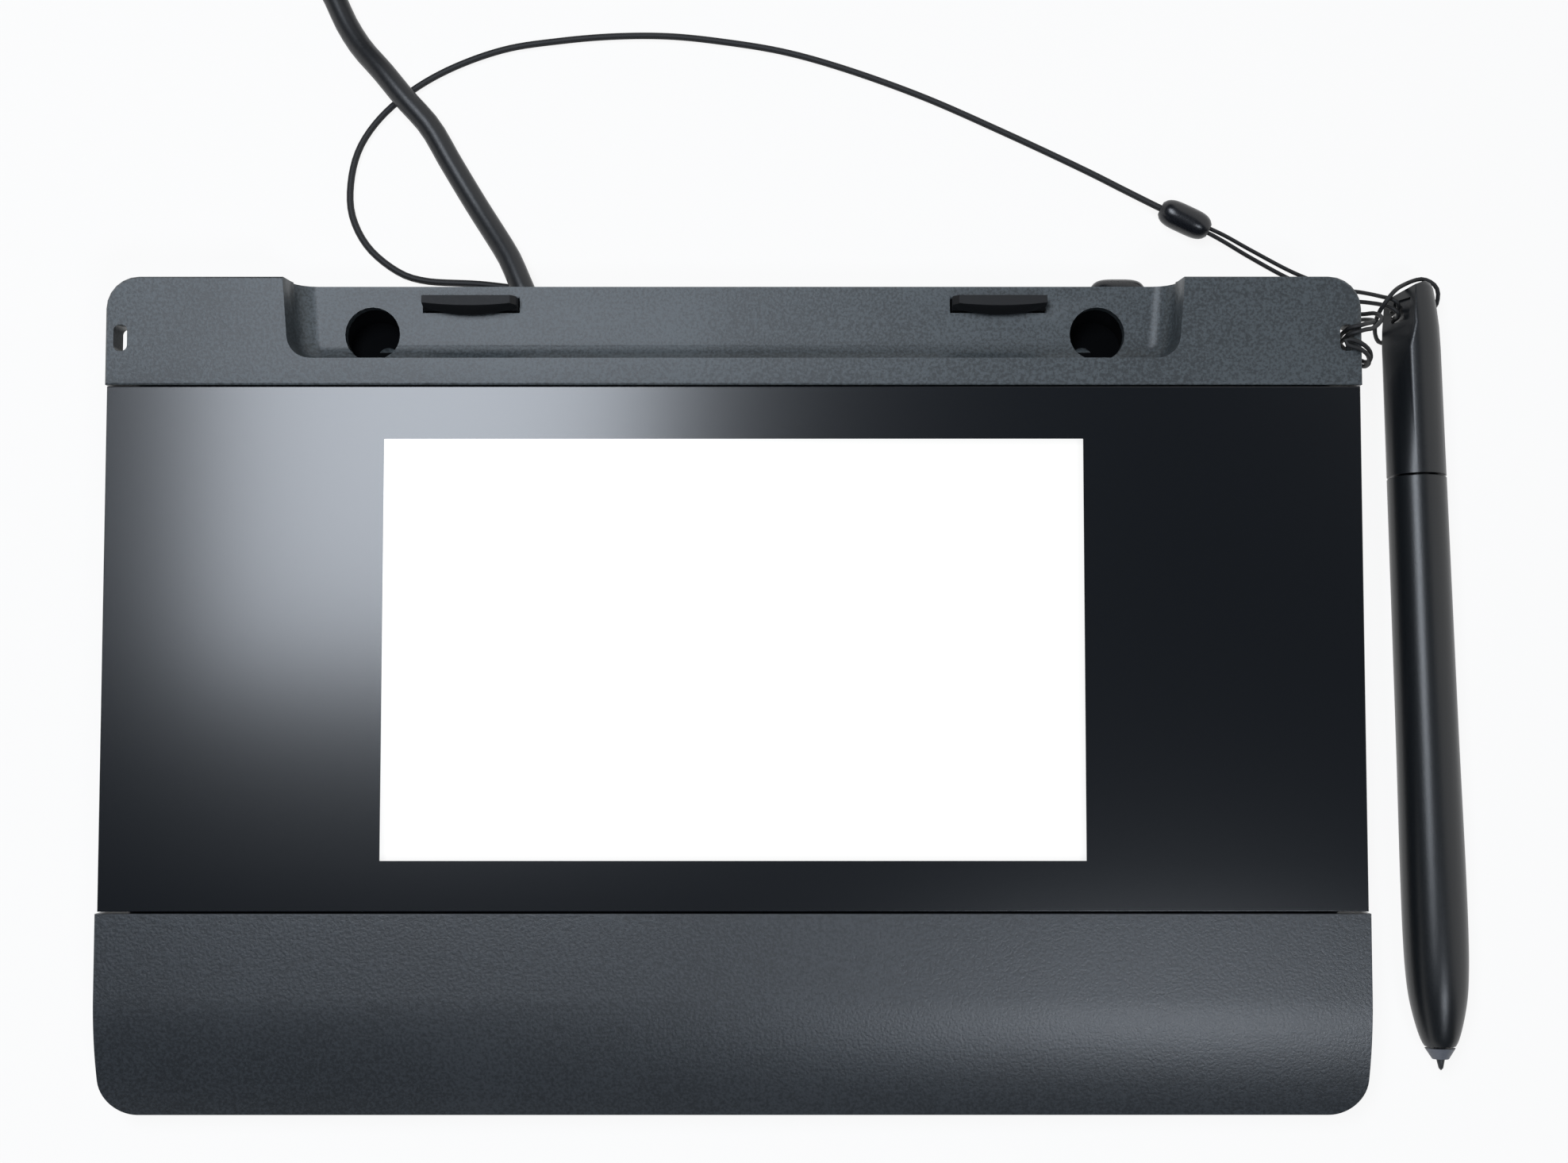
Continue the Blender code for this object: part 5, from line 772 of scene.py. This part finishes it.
class SIGNATURE_PAD_OT_usb_lead(bpy.types.Operator):
    """Lays the USB lead on the desk, with its coil, its plug and its strain relief"""

    bl_idname = "signature_pad.usb_lead"
    bl_label = "USB lead"

    def execute(self, context):
        cords = settings().cords
        coil, first, last = coil_points()
        start = exit_point(cords.exit_out)
        before = [start, start + (exit_point(1.0) - exit_point()) * cords.lead / 2, *LEAD_ROUTE]
        free = smooth_route([*before, coil[0] - first * cords.lead, coil[0]], cords.lead * 0.6)
        plug = Vector((*PLUG_PLACE, PLUG_HEIGHT / 2 + GAP))
        back = Vector((math.cos(PLUG_TURN), math.sin(PLUG_TURN), 0))
        after = [coil[-1], coil[-1] + last * cords.lead / 2, *TAIL_ROUTE]
        tail = smooth_route([*after, plug - back * cords.lead, plug], cords.lead * 0.6)
        points = [desk_frame() @ p for p in [*free, *coil[1:-1], *tail]]
        lead = tube("usb_lead", points, cords.lead, "cable_vinyl", 4)
        relief = dressed("lead_strain_relief", "strain_relief", "black_rubber", "pad")
        pieces = [relief, self.plug_body(), self.plug_shell(), self.plug_tongue()]
        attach(lead, "pad")
        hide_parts("usb_cable", "usb_cable_coil", "usb_cable_tail")
        return {"FINISHED"}

    def plug_frame(self):
        turn = Matrix.Rotation(PLUG_TURN, 4, "Z")
        return desk_frame() @ Matrix.Translation((*PLUG_PLACE, PLUG_HEIGHT / 2 + GAP)) @ turn

    def plug_body(self):
        """The moulded grip, waisted at its middle and drawn in where the lead enters."""
        bm = bmesh.new()
        half, tall = PLUG_WIDTH / 2, PLUG_HEIGHT / 2
        block(bm, (0, -half, -tall), (PLUG_LENGTH, half, tall))
        slice_across(bm, 0, [PLUG_LENGTH * share for share in (0.12, 0.3, 0.5, 0.7, 0.88)])
        for vert in bm.verts:
            share = vert.co.x / PLUG_LENGTH
            waist = 0.1 * math.sin(math.pi * share)
            # How near the lead's end is, over the first fifth of the grip
            entry = max(0.0, 0.2 - share) / 0.2
            vert.co.y *= 1 - waist - 0.16 * entry
            vert.co.z *= 1 - 0.12 * entry
        outside = edges_along(bm, 0, lambda co: abs(co.y) > 0.003 and abs(co.z) > 0.002)
        round_edges(bm, outside, PLUG_CORNER, 5)
        round_edges(bm, sharp_edges(bm, 60.0), PLUG_EDGE)
        body = finished("plug_grip", bm, self.plug_frame(), "cable_vinyl", "pad")
        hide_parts("usb_plug_body")
        return body

    def plug_shell(self):
        """The folded steel shell, open at its end, with two latch windows in each broad face."""
        bm = bmesh.new()
        wide, tall = SHELL_WIDTH / 2, SHELL_HEIGHT / 2
        start = PLUG_LENGTH + GAP
        block(bm, (start, -wide, -tall), (start + SHELL_LENGTH, wide, tall))
        round_edges(bm, edges_along(bm, 0), SHELL_CORNER, 4)
        near, far = (start + reach for reach in WINDOW_ALONG)
        inner, outer = WINDOW_ACROSS
        slice_across(bm, 0, [near, far])
        slice_across(bm, 1, [-outer, -inner, inner, outer])
        gone = []
        for face in bm.faces:
            middle = face.calc_center_median()
            at_end = abs(middle.x - start - SHELL_LENGTH) < NEAR
            across = inner < abs(middle.y) < outer and abs(face.normal.z) > 0.9
            if at_end or (near < middle.x < far and across):
                gone.append(face)
        bmesh.ops.delete(bm, geom=gone, context="FACES")
        shell = finished("plug_shell", bm, self.plug_frame(), "steel", "pad")
        wall = shell.modifiers.new("wall", "SOLIDIFY")
        wall.thickness = SHELL_WALL
        wall.offset = -1.0
        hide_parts("usb_plug_shell")
        return shell

    def plug_tongue(self):
        """The tongue inside the shell, with its four contacts."""
        bm = bmesh.new()
        wide, top = (size / 2 - SHELL_WALL - GAP for size in (SHELL_WIDTH, SHELL_HEIGHT))
        start = PLUG_LENGTH + GAP + SHELL_WALL + GAP
        end = PLUG_LENGTH + SHELL_LENGTH - TONGUE_RECESS
        under = top - TONGUE_THICKNESS
        block(bm, (start, -wide, under), (end, wide, top))
        round_edges(bm, [e for e in bm.edges if e.verts[0].co.x > end - NEAR], TONGUE_EDGE, 2)
        near, far = start + CONTACT_ENDS[0], end - CONTACT_ENDS[1]
        for y in CONTACTS:
            low = (near, y - CONTACT_HALF, under - CONTACT_RISE)
            block(bm, low, (far, y + CONTACT_HALF, under + CONTACT_RISE))
        tongue = finished("plug_tongue", bm, self.plug_frame(), "white_plastic", "pad")
        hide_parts("usb_plug_tongue")
        return tongue


class SIGNATURE_PAD_OT_tether(bpy.types.Operator):
    """Lays the braided tether with its two beads and its two thin loops"""

    bl_idname = "signature_pad.tether"
    bl_label = "Tether"

    def execute(self, context):
        cords = settings().cords
        desk = desk_frame()
        pad_place, pen_place = Vector((*cords.pad_bead, 0)), Vector((*cords.pen_bead, 0))
        turn = cords.pen_bead_turn
        pad_bead = self.bead("pad", pad_place, 0.0)
        pen_bead = self.bead("pen", pen_place, turn)
        face = cords.bead_length / 2 - cords.into_bead
        before = face + cords.tether
        route = [self.off_bead(pad_place, 0.0, -reach) for reach in (face, before)] + TETHER_ROUTE
        route += [self.off_bead(pen_place, turn, -reach) for reach in (before, face)]
        points = [desk @ p for p in smooth_route(route, cords.tether * 1.2)]
        cord = as_mesh(tube("tether_braid", points, cords.tether, "braided_cord", 2))
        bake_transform(cord)
        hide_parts("tether_cord")
        self.loop("pad", pad_place, 0.0, PAD_LOOP_ROUTE, pad_bead)
        self.loop("pen", pen_place, turn, PEN_LOOP_ROUTE)
        return {"FINISHED"}

    def off_bead(self, middle, turn, reach, aside=0.0):
        """A point off a bead's end, in line with the bead or to one side of its middle."""
        ahead = Vector((math.cos(turn), math.sin(turn), 0))
        across = Vector((-math.sin(turn), math.cos(turn), 0))
        up = Vector((0, 0, settings().cords.bead_radius))
        return middle + up + ahead * reach + across * aside

    def bead(self, body, middle, turn):
        """A barrel bead with rounded ends and a small mouth where the cord enters."""
        cords = settings().cords
        half, steps = cords.bead_length / 2, 20
        # The mouth's radius, and how far its floor and its edge are from the bead's middle
        mouth, deep, lip = cords.tether / 2 + MOUTH_ROOM, half - MOUTH_DEPTH, half - MOUTH_EDGE
        line = [(0, -deep), (mouth, -deep), (mouth, -lip)]
        for step in range(steps + 1):
            share = 2 * step / steps - 1
            bulge = (1 - share**4) * (cords.bead_radius - cords.bead_end)
            rounding = BEAD_ROUNDING * abs(share) ** 12
            line.append((cords.bead_end + bulge - rounding, share * half))
        line += [(mouth, lip), (mouth, deep), (0, deep)]
        lie = Matrix.Translation(self.off_bead(middle, turn, 0.0))
        lie = lie @ Matrix.Rotation(turn, 4, "Z") @ Matrix.Rotation(math.radians(90.0), 4, "Y")
        made = finished(
            f"tether_{body}_bead", turned(line, 48), desk_frame() @ lie, "black_rubber", body,
            "bead_rubber",
        )
        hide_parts(f"tether_bead_{body}")
        return made

    def loop(self, body, middle, turn, route, *pieces):
        """A thin loop that leaves a bead, follows its route and comes back beside itself."""
        cords = settings().cords
        face = cords.bead_length / 2 - cords.into_bead
        before, aside = face + cords.loop, cords.loop * 0.58
        out = [self.off_bead(middle, turn, reach, aside) for reach in (face, before)]
        home = [self.off_bead(middle, turn, reach, -aside) for reach in (before, face)]
        points = [desk_frame() @ p for p in smooth_route([*out, *route, *home], cords.loop * 1.2)]
        made = tube(f"tether_{body}_loop", points, cords.loop, "braided_cord", 2)
        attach(made, body)
        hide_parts(f"tether_loop_{body}")


class SIGNATURE_PAD_OT_palm_rest(bpy.types.Operator):
    """Makes the palm rest, whose top rolls down to a thin nose"""

    bl_idname = "signature_pad.palm_rest"
    bl_label = "Palm rest"

    def execute(self, context):
        pad = settings().pad
        half, steps = pad.width / 2, 26
        bm = bmesh.new()
        block(bm, (-half, -pad.nose_reach, -pad.rim_depth), (half, pad.palm_depth, 0))
        round_edges(bm, edges_along(bm, 2, lambda co: co.y < 0), pad.front_corner, 14)
        run = pad.roll_start + pad.nose_reach
        slice_across(bm, 1, [run * i / steps - pad.nose_reach for i in range(1, steps + 1)])
        for vert in bm.verts:
            share = max(0.0, (pad.roll_start - vert.co.y) / run)
            vert.co.x -= math.copysign(pad.nose_taper * share**2, vert.co.x)
            if vert.co.z > -NEAR:
                vert.co.z -= pad.roll_drop * share**2
        # All the sharp edges but those at the rim's foot
        foot = 0.0005 - pad.rim_depth
        round_edges(bm, sharp_edges(bm, 50.0, lambda co: co.z > foot), pad.edge, 4)
        made = finished("palm_rest_cover", bm, deck_frame(), "front_housing_plastic", "pad")
        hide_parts("palm_rest")
        return {"FINISHED"}


class SIGNATURE_PAD_OT_display(bpy.types.Operator):
    """Makes the clear panel with its black border and the lit screen in it"""

    bl_idname = "signature_pad.display"
    bl_label = "Display"

    def execute(self, context):
        pad = settings().pad
        side, near = pad.screen_width / 2, pad.screen_front
        far, top = near + pad.screen_height, -pad.panel_drop
        half, front = pad.width / 2 - pad.panel_inset, pad.palm_depth + pad.seam
        back = (deck_frame().inverted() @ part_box("display_panel")[1]).y
        bm = bmesh.new()
        block(bm, (-half, front, top - pad.panel_thickness), (half, back, top))
        slice_across(bm, 0, [-side, side])
        slice_across(bm, 1, [near, far])
        window = []
        for face in bm.faces:
            middle = face.calc_center_median()
            if abs(middle.x) < side and near < middle.y < far:
                window.append(face)
        rims = {e for f in window for e in f.edges}
        bmesh.ops.delete(bm, geom=window, context="FACES")
        bmesh.ops.bridge_loops(bm, edges=[e for e in rims if e.is_valid])
        bmesh.ops.recalc_face_normals(bm, faces=bm.faces)

        def on_outline(co):
            outside = abs(co.x) > side + 0.001 or co.y < front + NEAR or co.y > back - NEAR
            return co.z > top - NEAR and outside

        round_edges(bm, sharp_edges(bm, 50.0, on_outline), pad.panel_edge, 2)
        border = finished("panel_border", bm, deck_frame(), "panel_acrylic", "pad")
        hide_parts("display_panel")
        page, clear = bmesh.new(), 0.00002
        low = (clear - side, near + clear, top - pad.panel_thickness)
        block(page, low, (side - clear, far - clear, top - clear))
        finished("screen_page", page, deck_frame(), "display_glass", "pad")
        return {"FINISHED"}


class SIGNATURE_PAD_OT_rear_housing(bpy.types.Operator):
    """Makes the rear housing with the pen tray, and the frame, tub and sockets under it"""

    bl_idname = "signature_pad.rear_housing"
    bl_label = "Rear housing"

    def execute(self, context):
        bm = copy_of("rear_cover")
        to_deck = deck_frame().inverted()
        top = sharp_edges(bm, 50.0, lambda co: abs((to_deck @ co).z) < 0.00003)
        round_edges(bm, top, settings().pad.cover_edge)
        made = finished("tray_housing", bm, Matrix.Identity(4), "rear_housing_plastic", "pad")
        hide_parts("rear_cover")
        dressed("frame_rim", "mid_frame", "front_housing_plastic", "pad")
        dressed("bottom_tub", "base_cover", "front_housing_plastic", "pad")
        for side, hand in ((-1, "left"), (1, "right")):
            cup = dressed(f"{hand}_socket_cup", f"{hand}_pen_socket", "socket_plastic", "pad")
            self.colour_lug(cup, side)
        return {"FINISHED"}

    def colour_lug(self, cup, side):
        """Gives the lug inside a socket the rear housing's grey. The socket round it stays near black,
        painted shade for the deep hole.
        """
        pad = settings().pad
        under = pad.tray_depth + pad.tray_floor + GAP
        mouth = deck_frame() @ Vector((side * pad.socket_x, pad.socket_y, -under))
        upright = Matrix.Rotation(pad.socket_lean, 4, "X")
        way = Vector((-side * math.cos(pad.lug_bearing), -math.sin(pad.lug_bearing)))
        middle = way * pad.lug_reach
        cup.data.materials.append(FINISH["rear_housing_plastic"])
        for face in cup.data.polygons:
            at = (upright @ (face.center - mouth)).xy
            if (at - middle).length < pad.lug_radius and at.length < pad.socket_radius - NEAR:
                face.material_index = 1


class SIGNATURE_PAD_OT_grips(bpy.types.Operator):
    """Makes the two soft grips that stand in the tray"""

    bl_idname = "signature_pad.grips"
    bl_label = "Grips"

    def execute(self, context):
        pad = settings().pad
        half, back = pad.grip_width / 2, pad.grip_slot / 2 - GAP
        y = pad.depth - pad.grip_from_back - pad.grip_slot / 2
        # Height over the tray, depth of the tongue and share of its bow, from its root up
        rows = [
            (-0.0018, 2 * back, 0.0), (0.0006, 2 * back, 0.0), (0.0009, pad.grip_thickness, 1.0),
            (0.0020, pad.grip_thickness * 0.92, 0.8),
            (pad.grip_rise, pad.grip_thickness * 0.75, 0.35),
        ]
        for side, name in ((-1, "left"), (1, "right")):
            bm = bmesh.new()
            block(bm, (-half, -back, rows[0][0]), (half, back, pad.grip_rise))
            slice_across(bm, 0, [half * i / 8 for i in range(-7, 8)])
            slice_across(bm, 2, [row[0] for row in rows[1:-1]])
            for vert in bm.verts:
                _, deep, bow = min(rows, key=lambda row: abs(row[0] - vert.co.z))
                if vert.co.y < 0:
                    vert.co.y = back - deep - pad.grip_bow * bow * (1 - (vert.co.x / half) ** 2)
            inner_top = edges_along(
                bm, 1, lambda co: co.x * -side > half - NEAR and co.z > pad.grip_rise - NEAR
            )
            round_edges(bm, inner_top, pad.grip_chamfer, 1)
            round_edges(bm, sharp_edges(bm, 35.0, lambda co: co.z > 0.0007), pad.grip_edge)
            bmesh.ops.translate(bm, vec=(side * pad.grip_x, y, -pad.tray_depth), verts=bm.verts)
            made = finished(f"{name}_grip_tongue", bm, deck_frame(), "black_rubber", f"{name}_grip")
            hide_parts(f"{name}_grip_pad")
        return {"FINISHED"}


class SIGNATURE_PAD_OT_pen(bpy.types.Operator):
    """Makes the pen's two barrels, its nose ring and its nib"""

    bl_idname = "signature_pad.pen"
    bl_label = "Pen"

    def execute(self, context):
        pen = settings().pen
        line = smooth_route([(radius, 0, z) for z, radius in FRONT_BARREL_LINE], 0.0006)
        outer = [(p.x, p.z) for p in line]
        radius, end = outer.pop()
        outer += [(radius, end - pen.seam_edge), (radius - pen.seam_edge, end)]
        nose = (pen.nose_bore, outer[0][1])
        inner = [(pen.bore, pen.seam), (pen.bore, pen.bore_end), (pen.nose_bore, pen.bore_end)]
        bm = turned([(radius, z - pen.grip) for radius, z in [nose, *outer, *inner, nose]])
        made = finished("pen_grip_barrel", bm, pen_frame(), "pen_plastic", "pen")
        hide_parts("pen_front_barrel")
        dressed("pen_tail_barrel", "pen_rear_barrel", "pen_plastic", "pen")
        dressed("pen_nose", "pen_nose_ring", "nose_ring_plastic", "pen")
        dressed("pen_point", "pen_nib", "nib_plastic", "nib")
        return {"FINISHED"}


class SIGNATURE_PAD_OT_underside(bpy.types.Operator):
    """Makes the rubber feet"""

    bl_idname = "signature_pad.underside"
    bl_label = "Feet"

    def execute(self, context):
        for foot in ("left_front", "left_rear", "right_front", "right_rear"):
            low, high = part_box(f"{foot}_foot")
            radius, tall = (high.x - low.x) / 2, high.z - low.z
            # A rounded foot with a shallow dish in its sole
            line = [
                (0, tall), (radius, tall), (radius, 0.0004), (radius - 0.00012, 0.00012),
                (radius - 0.0004, 0), (radius - 0.0012, 0), (radius - 0.0015, 0.00015), (0, 0.00015),
            ]
            place = Matrix.Translation(((low.x + high.x) / 2, (low.y + high.y) / 2, low.z))
            made = finished(f"{foot}_pad", turned(line, 48), place, "black_rubber", "pad")
            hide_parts(f"{foot}_foot")
        return {"FINISHED"}


class SIGNATURE_PAD_OT_insides(bpy.types.Operator):
    """Gives every CAD piece that stays its finish"""

    bl_idname = "signature_pad.insides"
    bl_label = "Insides"

    def execute(self, context):
        slots = {}
        for part in FRAME["record"]["subparts"]:
            for node in part.get("nodes", [part.get("node")]):
                slots[node] = part["material_slot"]
        for name, obj in FRAME["nodes"].items():
            if name not in slots:
                raise RuntimeError(f"{name} has no slot in the record")
            obj.data.materials.clear()
            obj.data.materials.append(FINISH[slots[name]])
        return {"FINISHED"}


class SIGNATURE_PAD_OT_stage(bpy.types.Operator):
    """Makes the pale floor, the soft lights and the surroundings"""

    bl_idname = "signature_pad.stage"
    bl_label = "Stage"

    def execute(self, context):
        self.floor()
        for softbox in SOFTBOXES:
            self.lamp(*softbox)
        self.surroundings(context)
        context.scene.view_settings.view_transform = "Standard"
        return {"FINISHED"}

    def floor(self):
        stage = settings().stage
        bm = bmesh.new()
        bmesh.ops.create_grid(bm, x_segments=1, y_segments=1, size=stage.floor_size / 2)
        bmesh.ops.translate(bm, vec=(0, 0, -stage.floor_drop), verts=bm.verts)
        mesh = bpy.data.meshes.new("floor")
        bm.to_mesh(mesh)
        bm.free()
        mesh.materials.append(self.floor_finish())
        in_scene("floor", mesh)

    def floor_finish(self):
        """White paper: plain white to the eye, with the pad's soft shadow on it."""
        made, tree, shader, coords = new_material("white paper")
        grain = add_node(tree, "TexNoise", {"Vector": coords["Object"], "Scale": 1 / 0.003})
        feed(tree, shader, {
            "Base Color": tinted(tree, grain, settings().finishes.floor, 0.01), "Roughness": 0.9,
        })
        ray = add_node(tree, "LightPath").outputs
        # Nine tenths plain white to the camera and in mirrors, one tenth paper with its shadow
        share = ray["Is Camera Ray"]
        for other, operation in (
            (ray["Is Glossy Ray"], "MAXIMUM"), (ray["Is Transmission Ray"], "MAXIMUM"),
            (0.9, "MULTIPLY"),
        ):
            share = add_node(tree, "Math", {0: share, 1: other}, operation=operation)
        glow = add_node(tree, "Emission", {"Color": (1, 1, 1, 1), "Strength": 1.0})
        mix = add_node(tree, "MixShader", {0: share, 1: shader, 2: glow})
        # Clear to the eye from underneath, so that the pad's underside shows through it
        behind = add_node(tree, "NewGeometry").outputs["Backfacing"]
        under = add_node(tree, "Math", {0: behind, 1: ray["Is Camera Ray"]}, operation="MULTIPLY")
        clear = add_node(tree, "BsdfTransparent")
        paper = add_node(tree, "MixShader", {0: under, 1: mix, 2: clear})
        feed(tree, tree.nodes["Material Output"], {"Surface": paper})
        return made

    def lamp(self, name, place, size, radiance):
        """A rectangular softbox of this radiance, turned to the pad's middle."""
        light = bpy.data.lights.new(name, "AREA")
        light.shape = "RECTANGLE"
        light.size, light.size_y = size
        light.energy = radiance * math.pi * size[0] * size[1]
        light.color = COOL_WHITE
        obj = in_scene(name, light)
        obj.location = place
        back = (Vector(place) - Vector((0, 0, 0.01))).normalized()
        side = Vector((0, 1, 0)).cross(back).normalized()
        obj.rotation_euler = Matrix((side, back.cross(side), back)).transposed().to_euler()

    def surroundings(self, context):
        """White walls to see and to mirror, taller on the right and behind, under a dim ceiling."""
        world = bpy.data.worlds.new("studio")
        world.use_nodes = True
        context.scene.world = world
        tree = world.node_tree
        dim = tree.nodes["Background"]
        feed(tree, dim, {"Color": (*linear("#e8eef6"), 1), "Strength": 0.05})
        white = add_node(tree, "Background", {"Color": (1, 1, 1, 1), "Strength": 1.0})
        view = add_node(tree, "TexCoord").outputs["Generated"]
        way = add_node(tree, "SeparateXYZ", {"Vector": view}).outputs
        # How high a view looks, less the walls' extra height on the right, which grows behind
        right = add_node(tree, "Math", {0: way["X"], 1: 0.0}, operation="MAXIMUM")
        taller = add_node(tree, "Math", {0: way["Y"], 1: 3.0, 2: 1.2}, operation="MULTIPLY_ADD")
        extra = add_node(tree, "Math", {0: right, 1: taller}, operation="MULTIPLY")
        rise = add_node(tree, "Math", {0: way["Z"], 1: extra}, operation="SUBTRACT")
        wall = add_node(tree, "MapRange", {
            "Value": rise, "From Min": 0.25, "From Max": 0.45, "To Min": 1.0, "To Max": 0.0,
        })
        ray = add_node(tree, "LightPath").outputs
        seen = ray["Is Glossy Ray"]
        for other, operation in (
            (ray["Is Transmission Ray"], "MAXIMUM"), (wall, "MULTIPLY"),
            (ray["Is Camera Ray"], "MAXIMUM"),
        ):
            seen = add_node(tree, "Math", {0: seen, 1: other}, operation=operation)
        mix = add_node(tree, "MixShader", {0: seen, 1: dim, 2: white})
        feed(tree, tree.nodes["World Output"], {"Surface": mix})


class SignaturePadSettings(bpy.types.PropertyGroup):
    pad: PointerProperty(type=PadSizes, name="Pad", description="Sizes of the pad")
    pen: PointerProperty(type=PenSizes, name="Pen", description="Sizes of the pen")
    cords: PointerProperty(type=CordSizes, name="Cords", description="Sizes of lead and tether")
    finishes: PointerProperty(type=Finishes, name="Finishes", description="Colours of the finishes")
    stage: PointerProperty(type=StageSettings, name="Stage", description="Camera and floor")


class SIGNATURE_PAD_PT_pieces(bpy.types.Panel):
    bl_label = "Signature pad"
    bl_idname = "SIGNATURE_PAD_PT_pieces"
    bl_space_type = "VIEW_3D"
    bl_region_type = "UI"
    bl_category = "Signature pad"

    def draw(self, context):
        column = self.layout.column()
        for operator in OPERATORS:
            column.operator(operator.bl_idname)


OPERATORS = (
    SIGNATURE_PAD_OT_camera,
    SIGNATURE_PAD_OT_usb_lead,
    SIGNATURE_PAD_OT_tether,
    SIGNATURE_PAD_OT_insides,
    SIGNATURE_PAD_OT_palm_rest,
    SIGNATURE_PAD_OT_display,
    SIGNATURE_PAD_OT_rear_housing,
    SIGNATURE_PAD_OT_grips,
    SIGNATURE_PAD_OT_pen,
    SIGNATURE_PAD_OT_underside,
    SIGNATURE_PAD_OT_stage,
)
CLASSES = (
    PadSizes, PenSizes, CordSizes, Finishes, StageSettings, SignaturePadSettings, *OPERATORS,
    SIGNATURE_PAD_PT_pieces,
)


def register():
    for made in CLASSES:
        bpy.utils.register_class(made)
    bpy.types.Scene.signature_pad = PointerProperty(type=SignaturePadSettings)


def unregister():
    del bpy.types.Scene.signature_pad
    for made in reversed(CLASSES):
        bpy.utils.unregister_class(made)


def main():
    register()
    FINISH.update(finishes())
    make = bpy.ops.signature_pad
    make.camera()
    make.usb_lead()
    make.tether()
    make.insides()
    make.palm_rest()
    make.display()
    make.rear_housing()
    make.grips()
    make.pen()
    make.underside()
    make.stage()


if __name__ == "__main__":
    main()
